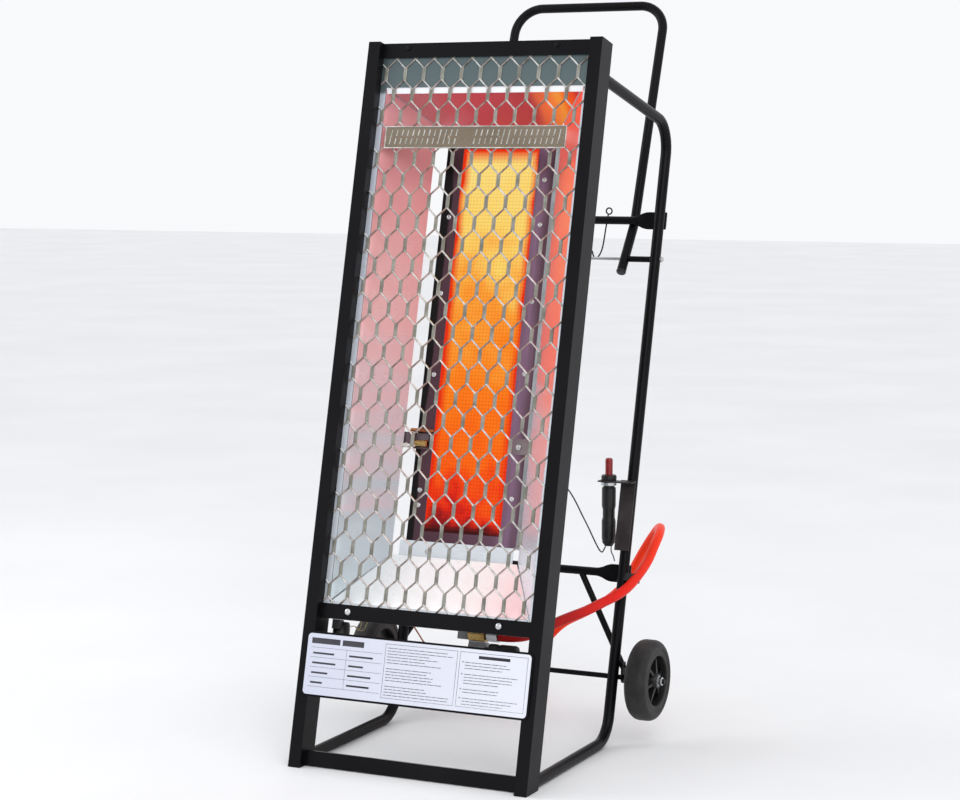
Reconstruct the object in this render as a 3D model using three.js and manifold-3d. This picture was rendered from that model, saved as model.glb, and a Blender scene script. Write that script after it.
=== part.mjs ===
// Portable gas radiant heater on a wheeled tubular trolley, in millimetres.
// +X is to the right of someone facing the heater, -Y is the side that radiates, +Z is up.
// The origin is on the floor, under the middle of the heater without its hose.
import * as THREE from "three";
import { mergeVertices } from "three/addons/utils/BufferGeometryUtils.js";
import Module from "manifold-3d";

const wasm = await Module();
wasm.setup();

// ---- Driving dimensions -------------------------------------------------------------------
const GAP = 0.3; // between pieces that touch or are welded, clamped or screwed together
const LEAN = THREE.MathUtils.degToRad(13.9); // the front frame leans back from upright
const REAR_LEAN = THREE.MathUtils.degToRad(14.6); // so do the rear tubes of the side loops

const FRAME_WIDTH = 390; // over both uprights
const FRAME_HEIGHT = 1112; // along an upright's front face
const UPRIGHT_WIDTH = 20;
const UPRIGHT_DEPTH = 40;
const UPRIGHT_WALL = 1.5;
const FOOT_PLATE = 3;
const VENT_RADIUS = 3;

const RAIL_RECESS = 12.4; // front face of the rails behind the front of the uprights
const RAIL_HEIGHT = 22.5;
const RAIL_SHEET = 2;
const RAIL_FLANGE = 18;
const MIDDLE_RAIL_FOOT = 225; // height of its lower edge along the frame
const BOTTOM_RAIL_FOOT = 4.5;

const LABEL_MARGIN = 9; // from its ends to the outer faces of the uprights
const LABEL_HEIGHT = 97;
const LABEL_BELOW_RAIL = 69.5; // its middle, below the lower edge of the middle rail
const LABEL_SHEET = 1.5;
const LABEL_CORNER = 9;
const LABEL_BORDER = 3.2;

const LOOP_TUBE = 17; // side loops
const LOOP_WALL = 1.5;
const LOOP_BEND = 48;
const LOOP_BELOW_TOP = 52; // its upper arm, below the top of the frame
const REAR_FOOT = 319; // where the rear tube's line meets the floor, behind the front edge

const CROSSBAR_TUBE = 13;
const CROSSBAR_PLATE = 4;
const CROSSBAR_PLATE_HEIGHT = 28;
const CROSSBAR_PLATE_LENGTH = 34;
const CROSSBAR_TAPER = 22;
const UPPER_CROSSBAR_BELOW_TOP = 308; // from the length of the uprights
const LOWER_CROSSBAR_Z = 258;

const HANDLE_TUBE = 15;
const HANDLE_WALL = 1.2;
const HANDLE_INSET = 62; // from the middle of a leg to the outer face of an upright
const HANDLE_RISE = 346; // above the upper crossbar
const HANDLE_LEAN = THREE.MathUtils.degToRad(20.6);
const HANDLE_BEND = 45;
const HANDLE_ELBOW_BEND = 60;
const HANDLE_TAIL = 23; // of a leg past its rod
const ROD_RADIUS = 2.5;
const ROD_DROP = 63; // below the upper crossbar
const ROD_HEAD_RADIUS = 4.5;
const ROD_HEAD = 3;
const SPACER_RADIUS = 4.75;
const HOOK_INSET = 41.5; // from the middle of its eye to that of the handle's leg

const WHEEL_RADIUS = 62.5;
const WHEEL_WIDTH = 35;
const WHEEL_Z = 100; // the wheels clear the floor until the heater is tipped back
const WHEEL_OUTREACH = 60; // from the uprights to the outer face of a tyre
const TYRE_THICKNESS = 20.5;
const AXLE_RADIUS = 4;
const AXLE_CLEARANCE = 0.4;
const AXLE_OUTREACH = 11; // past the outer face of a tyre
const STAY_RADIUS = 5;
const STAY_TOP_INSET = 82; // from the outer face of an upright
const STAY_PLATE = 3;

const GUARD_SHEET = 1.5;
const GUARD_PITCH = 48; // of the cells across
const GUARD_ROW = 46.8;
const GUARD_BOND = 7; // width of the upright strips between cells
const GUARD_STRAND = 3;
const GUARD_BOND_HEIGHT = 27;
const GUARD_EDGE = 6;
const BADGE_MARGIN = 24; // from each of its ends to the uprights, before it is shifted
const BADGE_HEIGHT = 34;
const BADGE_BELOW_MOUTH = 79; // its middle, below the top of the reflector's mouth

const SHEET = 1.2; // of the reflector and the burner's metalwork
const MOUTH_SIDE_MARGIN = 10; // from the front opening of the reflector to the uprights
const MOUTH_ABOVE_RAIL = 2.5;
const MOUTH_BELOW_TOP = 69; // from the top of the frame
const THROAT_SIDE_CLEARANCE = 15; // from its inner end to the burner's bezel
const THROAT_RISE = 81; // of its lower edge above the mouth's
const THROAT_FALL = 43; // of its upper edge below the mouth's
const THROAT_DEPTH = 88;

const TILE_HALF_WIDTH = 64;
const TILE_COUNT = 6;
const TILE_THICKNESS = 14;
const BURNER_ABOVE_THROAT = 41; // lower edge of the lowest ceramic tile
const BURNER_BELOW_THROAT = 32;
const BEZEL_SETBACK = 16; // its front face behind the end of the reflector
const BEZEL_MARGIN = 28;
const STRAP_HEIGHT = 24;
const STRAP_ABOVE_BURNER_FOOT = 137;
const BEZEL_EDGE = 16; // above and below the tiles
const PLENUM_DEPTH = 66;
const PLENUM_MARGIN = 14;
const VENTURI_RADIUS = 16;
const VENTURI_X = 7.5;
const VENTURI_ABOVE_RAIL = 23; // its mouth, above the lower edge of the middle rail

const VALVE_SETBACK = 36; // behind the face of the bezel
const VALVE_BELOW_VENTURI = 23.5;
const BUTTON_BELOW_VALVE = 21.5;
const VALVE_LEFT = 16;
const VALVE_LENGTH = 27;
const VALVE_ACROSS_FLATS = 21;
const HOSE_NUT_LENGTH = 17;
const VALVE_KNOB_TRAVEL = 5;

const IGNITER_INSET = 44; // from the outer face of an upright
const IGNITER_BEHIND_FOOT = 89; // from where the rear tube meets the floor
const IGNITER_TOP_Z = 408;
const IGNITER_FOOT_Z = 296;
const IGNITER_RADIUS = 11;
const IGNITER_NECK = 9;
const BUTTON_RADIUS = 6;
const BUTTON_TRAVEL = 6;
const BUTTON_RISE = 27;

const HOSE_RADIUS = 7.5;
const COIL_RADIUS = 76; // of the middle of its turns
const COIL_MIDDLE = new THREE.Vector2(-112, 528);

// ---- Materials ----------------------------------------------------------------------------
const finish = (color, roughness, metalness) =>
  new THREE.MeshStandardMaterial({ color, roughness, metalness });
const powderCoat = finish(0x17181c, 0.42, 0.1);
const blackPlastic = finish(0x0d0d0e, 0.5, 0);
const zinc = finish(0xc4c8ca, 0.3, 0.9);
const reflectorSteel = finish(0xd9dddf, 0.16, 1);
const heatTinted = finish(0x6f5a63, 0.35, 0.9);
const brass = finish(0xb58a45, 0.3, 1);
const castZinc = finish(0x8f9294, 0.45, 0.8);
const copper = finish(0xa8623a, 0.35, 1);
const rubber = finish(0x161616, 0.8, 0);
const redPlastic = finish(0xb01010, 0.35, 0);
const hoseRubber = finish(0xd41c0c, 0.4, 0);
const labelFoil = finish(0xd8dcea, 0.3, 0);
const ceramic = finish(0xff9a3c, 0.9, 0);
ceramic.emissive = new THREE.Color(0xff6a14);

// ---- Groups -------------------------------------------------------------------------------
const heater = new THREE.Group();
const frame = new THREE.Group(); // leaning: x across, y depth behind the front, z up the frame
frame.rotation.x = -LEAN;
const cord = new THREE.Group();

function add(group, name, shape, material) {
  const geometry = shape.isBufferGeometry ? shape : geometryOf(shape);
  const mesh = new THREE.Mesh(geometry, material);
  mesh.name = name;
  group.add(mesh);
  return mesh;
}

// ---- Joining and cutting ------------------------------------------------------------------
function solidOf(geometry) {
  const bare = geometry.clone();
  bare.deleteAttribute("normal");
  bare.deleteAttribute("uv");
  const merged = mergeVertices(bare, 1e-4);
  const vertProperties = new Float32Array(merged.attributes.position.array);
  const triVerts = new Uint32Array(merged.index.array);
  return new wasm.Manifold(new wasm.Mesh({ numProp: 3, vertProperties, triVerts }));
}

function geometryOf(solid) {
  const mesh = solid.getMesh();
  const geometry = new THREE.BufferGeometry();
  const position = new THREE.BufferAttribute(new Float32Array(mesh.vertProperties), 3);
  geometry.setAttribute("position", position);
  geometry.setIndex(new THREE.BufferAttribute(new Uint32Array(mesh.triVerts), 1));
  geometry.computeVertexNormals();
  return geometry;
}

const union = (first, ...others) =>
  others.reduce((whole, geometry) => whole.add(solidOf(geometry)), solidOf(first));
const cut = (solid, ...tools) =>
  tools.reduce((whole, geometry) => whole.subtract(solidOf(geometry)), solid);

// ---- Shapes -------------------------------------------------------------------------------
// A box between two corners.
function block(x0, x1, y0, y1, z0, z1) {
  const box = new THREE.BoxGeometry(x1 - x0, y1 - y0, z1 - z0);
  return box.translate((x0 + x1) / 2, (y0 + y1) / 2, (z0 + z1) / 2);
}

const outline = (points) => new THREE.Shape(points.map(([x, y]) => new THREE.Vector2(x, y)));

// An outline in (y, z) drawn out along x.
function prismX(shape, x0, x1) {
  const solid = new THREE.ExtrudeGeometry(shape, { depth: x1 - x0, bevelEnabled: false });
  const axes = new THREE.Matrix4().makeBasis(
    new THREE.Vector3(0, 1, 0), new THREE.Vector3(0, 0, 1), new THREE.Vector3(1, 0, 0));
  return solid.applyMatrix4(axes).translate(x0, 0, 0);
}

// An outline in (x, z) drawn out along y.
function prismY(shape, y0, y1, curveSegments = 6) {
  const drawn = { depth: y1 - y0, bevelEnabled: false, curveSegments };
  return new THREE.ExtrudeGeometry(shape, drawn).rotateX(Math.PI / 2).translate(0, y1, 0);
}

// A flat sheet with the given corners, thickened towards the side its corners run round clockwise.
function sheetBetween(corners, thickness) {
  const points = corners.map((corner) => new THREE.Vector3(...corner));
  const along = points[1].clone().sub(points[0]).normalize();
  const normal = along.clone().cross(points[2].clone().sub(points[0])).normalize();
  const across = normal.clone().cross(along);
  const flat = points.map((point) => {
    const from = point.clone().sub(points[0]);
    return [from.dot(along), from.dot(across)];
  });
  const solid = new THREE.ExtrudeGeometry(outline(flat), { depth: thickness, bevelEnabled: false });
  const place = new THREE.Matrix4().makeBasis(along, across, normal).setPosition(points[0]);
  return solid.applyMatrix4(place);
}

function roundedRectangle(width, height, radius, middle) {
  const shape = new THREE.Shape();
  const [x, y] = [width / 2 - radius, height / 2 - radius];
  shape.absarc(x, middle + y, radius, 0, Math.PI / 2);
  shape.absarc(-x, middle + y, radius, Math.PI / 2, Math.PI);
  shape.absarc(-x, middle - y, radius, Math.PI, Math.PI * 1.5);
  shape.absarc(x, middle - y, radius, Math.PI * 1.5, Math.PI * 2);
  return shape;
}

// A solid of revolution about x from a closed [radius, x] profile.
function turnedX(profile, sides) {
  const points = profile.map(([r, x]) => new THREE.Vector2(r, x));
  return new THREE.LatheGeometry(points, sides).rotateZ(-Math.PI / 2);
}

// The same about z, from [radius, z].
function turnedZ(profile, sides) {
  const points = profile.map(([r, z]) => new THREE.Vector2(r, z));
  return new THREE.LatheGeometry(points, sides).rotateX(Math.PI / 2);
}

const rodX = (radius, x0, x1, sides = 16) =>
  new THREE.CylinderGeometry(radius, radius, x1 - x0, sides)
    .rotateZ(Math.PI / 2).translate((x0 + x1) / 2, 0, 0);

function rodBetween(from, to, radius, sides = 12) {
  const line = new THREE.LineCurve3(from, to);
  return sweep(line, radius, 0, sides, 1);
}

// Straight lines joined by bends: a station at each end of every bend, and some along it.
class BentPath extends THREE.Curve {
  constructor(corners, bends, perBend = 6) {
    super();
    this.stations = [corners[0]];
    for (let i = 1; i < corners.length - 1; i++) {
      const inward = corners[i - 1].clone().sub(corners[i]).normalize();
      const outward = corners[i + 1].clone().sub(corners[i]).normalize();
      const half = inward.angleTo(outward) / 2;
      const middle = inward.clone().add(outward).normalize()
        .multiplyScalar(bends[i - 1] / Math.sin(half)).add(corners[i]);
      const start = corners[i].clone().addScaledVector(inward, bends[i - 1] / Math.tan(half));
      const spoke = start.clone().sub(middle);
      const axis = inward.clone().cross(outward).normalize();
      for (let k = 0; k <= perBend; k++) {
        const turn = -(Math.PI - 2 * half) * (k / perBend);
        this.stations.push(spoke.clone().applyAxisAngle(axis, turn).add(middle));
      }
    }
    this.stations.push(corners[corners.length - 1]);
  }
  get steps() {
    return this.stations.length - 1;
  }
  getUtoTmapping(u) {
    return u;
  }
  getPoint(t, target = new THREE.Vector3()) {
    const place = Math.min(Math.max(t, 0), 1) * this.steps;
    const i = Math.min(Math.floor(place), this.steps - 1);
    return target.lerpVectors(this.stations[i], this.stations[i + 1], place - i);
  }
}

// A round tube along a curve, hollow where it has a wall.
function sweep(curve, radius, wall, sides, steps) {
  const circle = (r, turn) => Array.from({ length: sides }, (_, i) => {
    const angle = (turn * 2 * Math.PI * (i + 0.5)) / sides;
    return new THREE.Vector2(r * Math.cos(angle), r * Math.sin(angle));
  });
  const section = new THREE.Shape(circle(radius, 1));
  if (wall) section.holes.push(new THREE.Path(circle(radius - wall, -1)));
  return new THREE.ExtrudeGeometry(section, { steps, extrudePath: curve, bevelEnabled: false });
}

const mirrored = (side, [x, y, z]) => [side * x, y, z];
const vector = (x, y, z) => new THREE.Vector3(x, y, z);

// ---- Places that several pieces share -----------------------------------------------------
const halfWidth = FRAME_WIDTH / 2;
const innerX = halfWidth - UPRIGHT_WIDTH;
const loopX = halfWidth - UPRIGHT_WIDTH / 2;
const loopRadius = LOOP_TUBE / 2;
const tan = Math.tan(REAR_LEAN);

const LOOP_HEIGHT = FRAME_HEIGHT - LOOP_BELOW_TOP;
const LABEL_WIDTH = FRAME_WIDTH - 2 * LABEL_MARGIN;
const LABEL_MIDDLE = MIDDLE_RAIL_FOOT - LABEL_BELOW_RAIL;
const UPPER_CROSSBAR_Z = FRAME_HEIGHT - UPPER_CROSSBAR_BELOW_TOP;
const ROD_Z = UPPER_CROSSBAR_Z - ROD_DROP;
const HANDLE_TOP_Z = UPPER_CROSSBAR_Z + HANDLE_RISE;
const WHEEL_FACE_X = halfWidth + WHEEL_OUTREACH;
const AXLE_END_X = WHEEL_FACE_X + AXLE_OUTREACH;
const RIM_RADIUS = WHEEL_RADIUS - TYRE_THICKNESS;
const STAY_TOP_X = halfWidth - STAY_TOP_INSET;
const BEZEL_HALF_WIDTH = TILE_HALF_WIDTH + BEZEL_MARGIN;
const MOUTH_HALF_WIDTH = innerX - MOUTH_SIDE_MARGIN;
const MOUTH_FOOT = MIDDLE_RAIL_FOOT + RAIL_HEIGHT + MOUTH_ABOVE_RAIL;
const MOUTH_TOP = FRAME_HEIGHT - MOUTH_BELOW_TOP;
const THROAT_HALF_WIDTH = BEZEL_HALF_WIDTH + THROAT_SIDE_CLEARANCE;
const THROAT_FOOT = MOUTH_FOOT + THROAT_RISE;
const THROAT_TOP = MOUTH_TOP - THROAT_FALL;
const BADGE_LENGTH = 2 * (innerX - BADGE_MARGIN);
const BADGE_MIDDLE = MOUTH_TOP - BADGE_BELOW_MOUTH;
const BURNER_FOOT = THROAT_FOOT + BURNER_ABOVE_THROAT;
const BURNER_TOP = THROAT_TOP - BURNER_BELOW_THROAT;
const BEZEL_DEPTH = THROAT_DEPTH + BEZEL_SETBACK;
const STRAP_MIDDLE = BURNER_FOOT + STRAP_ABOVE_BURNER_FOOT;
const VENTURI_FOOT = MIDDLE_RAIL_FOOT + VENTURI_ABOVE_RAIL;
const VALVE_DEPTH = BEZEL_DEPTH + VALVE_SETBACK;
const VALVE_HEIGHT = VENTURI_FOOT - VALVE_BELOW_VENTURI;
const unitHeight = VALVE_HEIGHT - BUTTON_BELOW_VALVE;
const IGNITER_X = halfWidth - IGNITER_INSET;
const IGNITER_Y = REAR_FOOT + IGNITER_BEHIND_FOOT;

// Floor frame (y, z) of a point at a depth behind the front face and a height up the frame.
const onFrame = (depth, height) => ({
  y: depth * Math.cos(LEAN) + height * Math.sin(LEAN),
  z: height * Math.cos(LEAN) - depth * Math.sin(LEAN),
});
const rearTubeY = (z) => REAR_FOOT + z * tan;

// A point behind the rear tubes, at a distance square to them from their middle line.
function behindRearTube(z, distance) {
  return { y: rearTubeY(z) + distance * Math.cos(REAR_LEAN), z: z - distance * Math.sin(REAR_LEAN) };
}

// ---- Front frame --------------------------------------------------------------------------
// Rectangular tube, capped on top, with a foot cut level with the floor. A vent opens into the
// end of the side loop.
for (const [side, name] of [[-1, "front_upright_left"], [1, "front_upright_right"]]) {
  const cutRise = Math.tan(LEAN);
  const outer = outline([
    [0, 0], [UPRIGHT_DEPTH, UPRIGHT_DEPTH * cutRise],
    [UPRIGHT_DEPTH, FRAME_HEIGHT], [0, FRAME_HEIGHT],
  ]);
  const x = side * loopX;
  const half = UPRIGHT_WIDTH / 2;
  const [near, far] = [UPRIGHT_WALL, UPRIGHT_DEPTH - UPRIGHT_WALL];
  const bore = outline([
    [near, FOOT_PLATE + near * cutRise], [far, FOOT_PLATE + far * cutRise],
    [far, FRAME_HEIGHT - UPRIGHT_WALL], [near, FRAME_HEIGHT - UPRIGHT_WALL],
  ]);
  const hollow = prismX(bore, x - half + UPRIGHT_WALL, x + half - UPRIGHT_WALL);
  const vent = new THREE.CylinderGeometry(VENT_RADIUS, VENT_RADIUS, 4 * UPRIGHT_WALL, 12)
    .translate(x, UPRIGHT_DEPTH, LOOP_HEIGHT);
  add(frame, name, cut(solidOf(prismX(outer, x - half, x + half)), hollow, vent), powderCoat);
}

// Rails of folded angle between the uprights. Their flange runs back from one edge.
function rail(name, foot, flangeAtTop) {
  const [d0, d1] = [RAIL_RECESS, RAIL_RECESS + RAIL_SHEET];
  const top = foot + RAIL_HEIGHT;
  const back = d1 + RAIL_FLANGE;
  const section = flangeAtTop
    ? [[d0, foot], [d1, foot], [d1, top - RAIL_SHEET], [back, top - RAIL_SHEET], [back, top], [d0, top]]
    : [[d0, foot], [back, foot], [back, foot + RAIL_SHEET], [d1, foot + RAIL_SHEET], [d1, top], [d0, top]];
  const end = innerX - GAP;
  add(frame, name, prismX(outline(section), -end, end), powderCoat);
}
rail("top_rail", FRAME_HEIGHT - RAIL_HEIGHT, true);
rail("middle_rail", MIDDLE_RAIL_FOOT, false);
rail("bottom_rail", BOTTOM_RAIL_FOOT, true);

// Data plate on the front of the uprights, with a blank foil on it.
const plateBack = -GAP;
const plateFront = plateBack - LABEL_SHEET;
add(frame, "label_plate", prismY(
  roundedRectangle(LABEL_WIDTH, LABEL_HEIGHT, LABEL_CORNER, LABEL_MIDDLE),
  plateFront, plateBack), powderCoat);
add(frame, "label_foil", prismY(
  roundedRectangle(LABEL_WIDTH - 2 * LABEL_BORDER, LABEL_HEIGHT - 2 * LABEL_BORDER,
    LABEL_CORNER - LABEL_BORDER, LABEL_MIDDLE),
  plateFront - GAP - 0.5, plateFront - GAP), labelFoil);

// ---- Guard and reflector ------------------------------------------------------------------
// Expanded-metal guard behind the rails: long hexagons, each row half a cell along.
const guardFront = RAIL_RECESS + RAIL_SHEET + GAP;
const guardBack = guardFront + GUARD_SHEET;
const sheetEnd = innerX - 2 * GAP;
const guardFoot = MIDDLE_RAIL_FOOT + RAIL_SHEET + 2 * GAP;
const guardTop = FRAME_HEIGHT - RAIL_SHEET - 2 * GAP;
{
  const openFoot = MIDDLE_RAIL_FOOT + RAIL_HEIGHT;
  const openTop = FRAME_HEIGHT - RAIL_HEIGHT;
  const shape = outline([
    [-sheetEnd, guardFoot], [sheetEnd, guardFoot], [sheetEnd, guardTop], [-sheetEnd, guardTop],
  ]);
  const halfCell = (GUARD_PITCH - GUARD_BOND) / 2;
  const halfSide = GUARD_BOND_HEIGHT / 2 - GUARD_STRAND / 2;
  const tip = GUARD_ROW - GUARD_BOND_HEIGHT / 2 - GUARD_STRAND;
  const rows = Math.floor((openTop - openFoot - 2 * tip) / GUARD_ROW) + 1;
  const firstRow = (openFoot + openTop - (rows - 1) * GUARD_ROW) / 2;
  for (let row = 0; row < rows; row++) {
    const shift = row % 2 ? GUARD_PITCH / 2 : 0;
    const reach = Math.floor((sheetEnd - GUARD_EDGE - halfCell - shift) / GUARD_PITCH);
    const first = row % 2 ? -reach - 1 : -reach;
    for (let column = first; column <= reach; column++) {
      const x = column * GUARD_PITCH + shift;
      const z = firstRow + row * GUARD_ROW;
      shape.holes.push(new THREE.Path([
        [0, -tip], [-halfCell, -halfSide], [-halfCell, halfSide],
        [0, tip], [halfCell, halfSide], [halfCell, -halfSide],
      ].map(([dx, dz]) => new THREE.Vector2(x + dx, z + dz))));
    }
  }
  add(frame, "guard", prismY(shape, guardFront, guardBack), zinc);
}

// Plain stamped strip fixed across the guard, in the plane of the rails.
add(frame, "guard_strip", block(
  -BADGE_LENGTH / 2 - 4, BADGE_LENGTH / 2 - 4, guardFront - GAP - 1, guardFront - GAP,
  BADGE_MIDDLE - BADGE_HEIGHT / 2, BADGE_MIDDLE + BADGE_HEIGHT / 2), castZinc);

// Front panel behind the guard, open where the reflector's mouth is.
const panelFront = guardBack + GAP;
const panelBack = panelFront + SHEET;
{
  const shape = outline([
    [-sheetEnd, guardFoot], [sheetEnd, guardFoot], [sheetEnd, guardTop], [-sheetEnd, guardTop],
  ]);
  shape.holes.push(new THREE.Path([
    [-MOUTH_HALF_WIDTH, MOUTH_FOOT], [-MOUTH_HALF_WIDTH, MOUTH_TOP],
    [MOUTH_HALF_WIDTH, MOUTH_TOP], [MOUTH_HALF_WIDTH, MOUTH_FOOT],
  ].map(([x, z]) => new THREE.Vector2(x, z))));
  add(frame, "front_panel", prismY(shape, panelFront, panelBack), zinc);
}

// Four sheets funnel back from the mouth to the throat, clear of each other at the corners.
{
  const d0 = panelBack + GAP;
  const d1 = THROAT_DEPTH;
  const corner = 2 * SHEET;
  for (const [side, name] of [[-1, "reflector_left"], [1, "reflector_right"]]) {
    const corners = [
      [MOUTH_HALF_WIDTH, d0, MOUTH_FOOT + corner], [THROAT_HALF_WIDTH, d1, THROAT_FOOT + corner],
      [THROAT_HALF_WIDTH, d1, THROAT_TOP - corner], [MOUTH_HALF_WIDTH, d0, MOUTH_TOP - corner],
    ].map((point) => mirrored(side, point));
    const ordered = side > 0 ? corners.reverse() : corners;
    add(frame, name, sheetBetween(ordered, SHEET), reflectorSteel);
  }
  const inset = corner;
  const top = [
    [-MOUTH_HALF_WIDTH + inset, d0, MOUTH_TOP], [-THROAT_HALF_WIDTH + inset, d1, THROAT_TOP],
    [THROAT_HALF_WIDTH - inset, d1, THROAT_TOP], [MOUTH_HALF_WIDTH - inset, d0, MOUTH_TOP],
  ];
  add(frame, "reflector_top", sheetBetween(top, SHEET), reflectorSteel);
  const bottom = [
    [MOUTH_HALF_WIDTH - inset, d0, MOUTH_FOOT], [THROAT_HALF_WIDTH - inset, d1, THROAT_FOOT],
    [-THROAT_HALF_WIDTH + inset, d1, THROAT_FOOT], [-MOUTH_HALF_WIDTH + inset, d0, MOUTH_FOOT],
  ];
  add(frame, "reflector_bottom", sheetBetween(bottom, SHEET), reflectorSteel);
}

// ---- Burner -------------------------------------------------------------------------------
const bezelBack = BEZEL_DEPTH + SHEET;
const bezelHalf = BEZEL_HALF_WIDTH;
const bezelFoot = BURNER_FOOT - BEZEL_EDGE;
const bezelTop = BURNER_TOP + BEZEL_EDGE;
{
  const shape = outline([
    [-bezelHalf, bezelFoot], [bezelHalf, bezelFoot], [bezelHalf, bezelTop], [-bezelHalf, bezelTop],
  ]);
  shape.holes.push(new THREE.Path([
    [-TILE_HALF_WIDTH, BURNER_FOOT], [-TILE_HALF_WIDTH, BURNER_TOP],
    [TILE_HALF_WIDTH, BURNER_TOP], [TILE_HALF_WIDTH, BURNER_FOOT],
  ].map(([x, z]) => new THREE.Vector2(x, z))));
  add(frame, "burner_bezel", prismY(shape, BEZEL_DEPTH, bezelBack), heatTinted);
}

// Ceramic plates stacked up the burner. They reach a little behind the bezel's edge.
const tileFront = bezelBack + GAP;
const tileBack = tileFront + TILE_THICKNESS;
const tileHalf = TILE_HALF_WIDTH + 2;
const tilePitch = (BURNER_TOP - BURNER_FOOT + 4) / TILE_COUNT;
for (let i = 0; i < TILE_COUNT; i++) {
  const foot = BURNER_FOOT - 2 + i * tilePitch + GAP / 2;
  add(frame, `ceramic_tile_${i + 1}`, block(
    -tileHalf, tileHalf, tileFront, tileBack, foot, foot + tilePitch - GAP), ceramic);
}

// Mixing box behind the tiles, open in front, with the mixing tube's hole in its floor.
const plenumHalf = TILE_HALF_WIDTH + PLENUM_MARGIN;
const plenumFoot = BURNER_FOOT - PLENUM_MARGIN;
const plenumTop = BURNER_TOP + PLENUM_MARGIN;
const plenumBack = bezelBack + GAP + PLENUM_DEPTH;
const venturiHole = new THREE.CylinderGeometry(
  VENTURI_RADIUS + GAP, VENTURI_RADIUS + GAP, 20, 24)
  .rotateX(Math.PI / 2).translate(VENTURI_X, VALVE_DEPTH, plenumFoot);
add(frame, "mixing_box", cut(
  solidOf(block(-plenumHalf, plenumHalf, bezelBack + GAP, plenumBack, plenumFoot, plenumTop)),
  block(-plenumHalf + SHEET, plenumHalf - SHEET, bezelBack - 1, plenumBack - SHEET,
    plenumFoot + SHEET, plenumTop - SHEET),
  venturiHole), heatTinted);

// Mixing tube: a bell mouth below, a waist, and a straight neck into the box.
{
  const wall = 1.5;
  const r = VENTURI_RADIUS;
  const mouth = VENTURI_FOOT;
  const neck = plenumFoot + 12;
  const outside = [[r + 3, mouth], [r + 3, mouth + 10], [r - 4, mouth + 40], [r, mouth + 75], [r, neck]];
  const inside = outside.map(([radius, z]) => [radius - wall, z]).reverse();
  const profile = [...outside, ...inside, outside[0]];
  const tube = turnedZ(profile, 24).translate(VENTURI_X, VALVE_DEPTH, 0);
  add(frame, "mixing_tube", tube, heatTinted);
}

// Folded ledge under the burner, at the back of the lower reflector sheet.
{
  const d0 = THROAT_DEPTH + 2 * SHEET;
  const section = outline([
    [d0, THROAT_FOOT + 1], [d0 + SHEET, THROAT_FOOT + 1], [d0 + SHEET, bezelFoot - GAP - SHEET],
    [bezelBack, bezelFoot - GAP - SHEET], [bezelBack, bezelFoot - GAP], [d0, bezelFoot - GAP],
  ]);
  const half = THROAT_HALF_WIDTH - 12;
  add(frame, "burner_ledge", prismX(section, -half, half), reflectorSteel);
}

// Z-shaped straps hold the burner to the back of the side sheets. The left one carries the pilot.
for (const [side, name, extra] of [[-1, "pilot_strap", 8], [1, "burner_strap", 0]]) {
  const front = BEZEL_DEPTH - GAP - SHEET;
  const onBezel = bezelHalf - 21;
  const web = bezelHalf + 4;
  const flange = THROAT_DEPTH + 2 * SHEET;
  const section = [
    [onBezel, front], [web - SHEET, front], [web - SHEET, flange], [web + 15 + extra, flange],
    [web + 15 + extra, flange + SHEET], [web, flange + SHEET],
    [web, BEZEL_DEPTH - GAP], [onBezel, BEZEL_DEPTH - GAP],
  ].map(([x, d]) => [side * x, d]);
  const foot = STRAP_MIDDLE - STRAP_HEIGHT / 2;
  const shape = outline(side > 0 ? section : section.reverse());
  const strap = new THREE.ExtrudeGeometry(shape, { depth: STRAP_HEIGHT, bevelEnabled: false })
    .translate(0, 0, foot);
  add(frame, name, strap, heatTinted);
}

// Thermocouple: a thick tip at the tiles' edge and a thin lead down to the valve.
{
  const depth = THROAT_DEPTH + 9;
  const [end, drop] = [TILE_HALF_WIDTH + 36, plenumHalf + 10];
  const height = STRAP_MIDDLE + STRAP_HEIGHT / 2 + 4;
  const tip = rodX(3, -end, -TILE_HALF_WIDTH + 6).translate(0, depth, height);
  const lead = new BentPath([
    vector(-end + 2, depth, height), vector(-end + 1, depth + 14, height),
    vector(-drop, VALVE_DEPTH, height - 40), vector(-drop, VALVE_DEPTH, unitHeight + 32),
    vector(-drop + 28, VALVE_DEPTH, unitHeight), vector(VALVE_LEFT + 2 - GAP, VALVE_DEPTH, unitHeight),
  ], [5, 12, 12, 12], 3);
  add(frame, "thermocouple", union(tip, sweep(lead, 1.2, 0, 6, lead.steps)), copper);
}

// ---- Gas valve ----------------------------------------------------------------------------
const hexagon = (acrossFlats) => outline(Array.from({ length: 6 }, (_, i) => {
  const angle = (i * Math.PI) / 3;
  const r = acrossFlats / Math.sqrt(3);
  return [r * Math.cos(angle), r * Math.sin(angle)];
}));
const valveRight = VALVE_LEFT + VALVE_LENGTH;
const atValve = (geometry) => geometry.translate(0, VALVE_DEPTH, VALVE_HEIGHT);
add(frame, "valve_body", union(
  atValve(prismX(hexagon(VALVE_ACROSS_FLATS), VALVE_LEFT, valveRight)),
  atValve(rodX(7, valveRight - 1, valveRight + 3))), brass);

// Elbow with the injector that blows up into the mixing tube.
{
  const half = 9;
  const elbow = block(
    VENTURI_X - half, VALVE_LEFT - GAP, VALVE_DEPTH - half, VALVE_DEPTH + half,
    VALVE_HEIGHT - half, VALVE_HEIGHT + half + 4);
  const nozzleTop = VENTURI_FOOT + 6;
  const nozzleFoot = VALVE_HEIGHT + half;
  const nozzle = new THREE.CylinderGeometry(3, 5, nozzleTop - nozzleFoot, 12)
    .rotateX(Math.PI / 2).translate(VENTURI_X, VALVE_DEPTH, (nozzleTop + nozzleFoot) / 2);
  add(frame, "injector_elbow", union(elbow, nozzle), castZinc);
}

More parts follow.
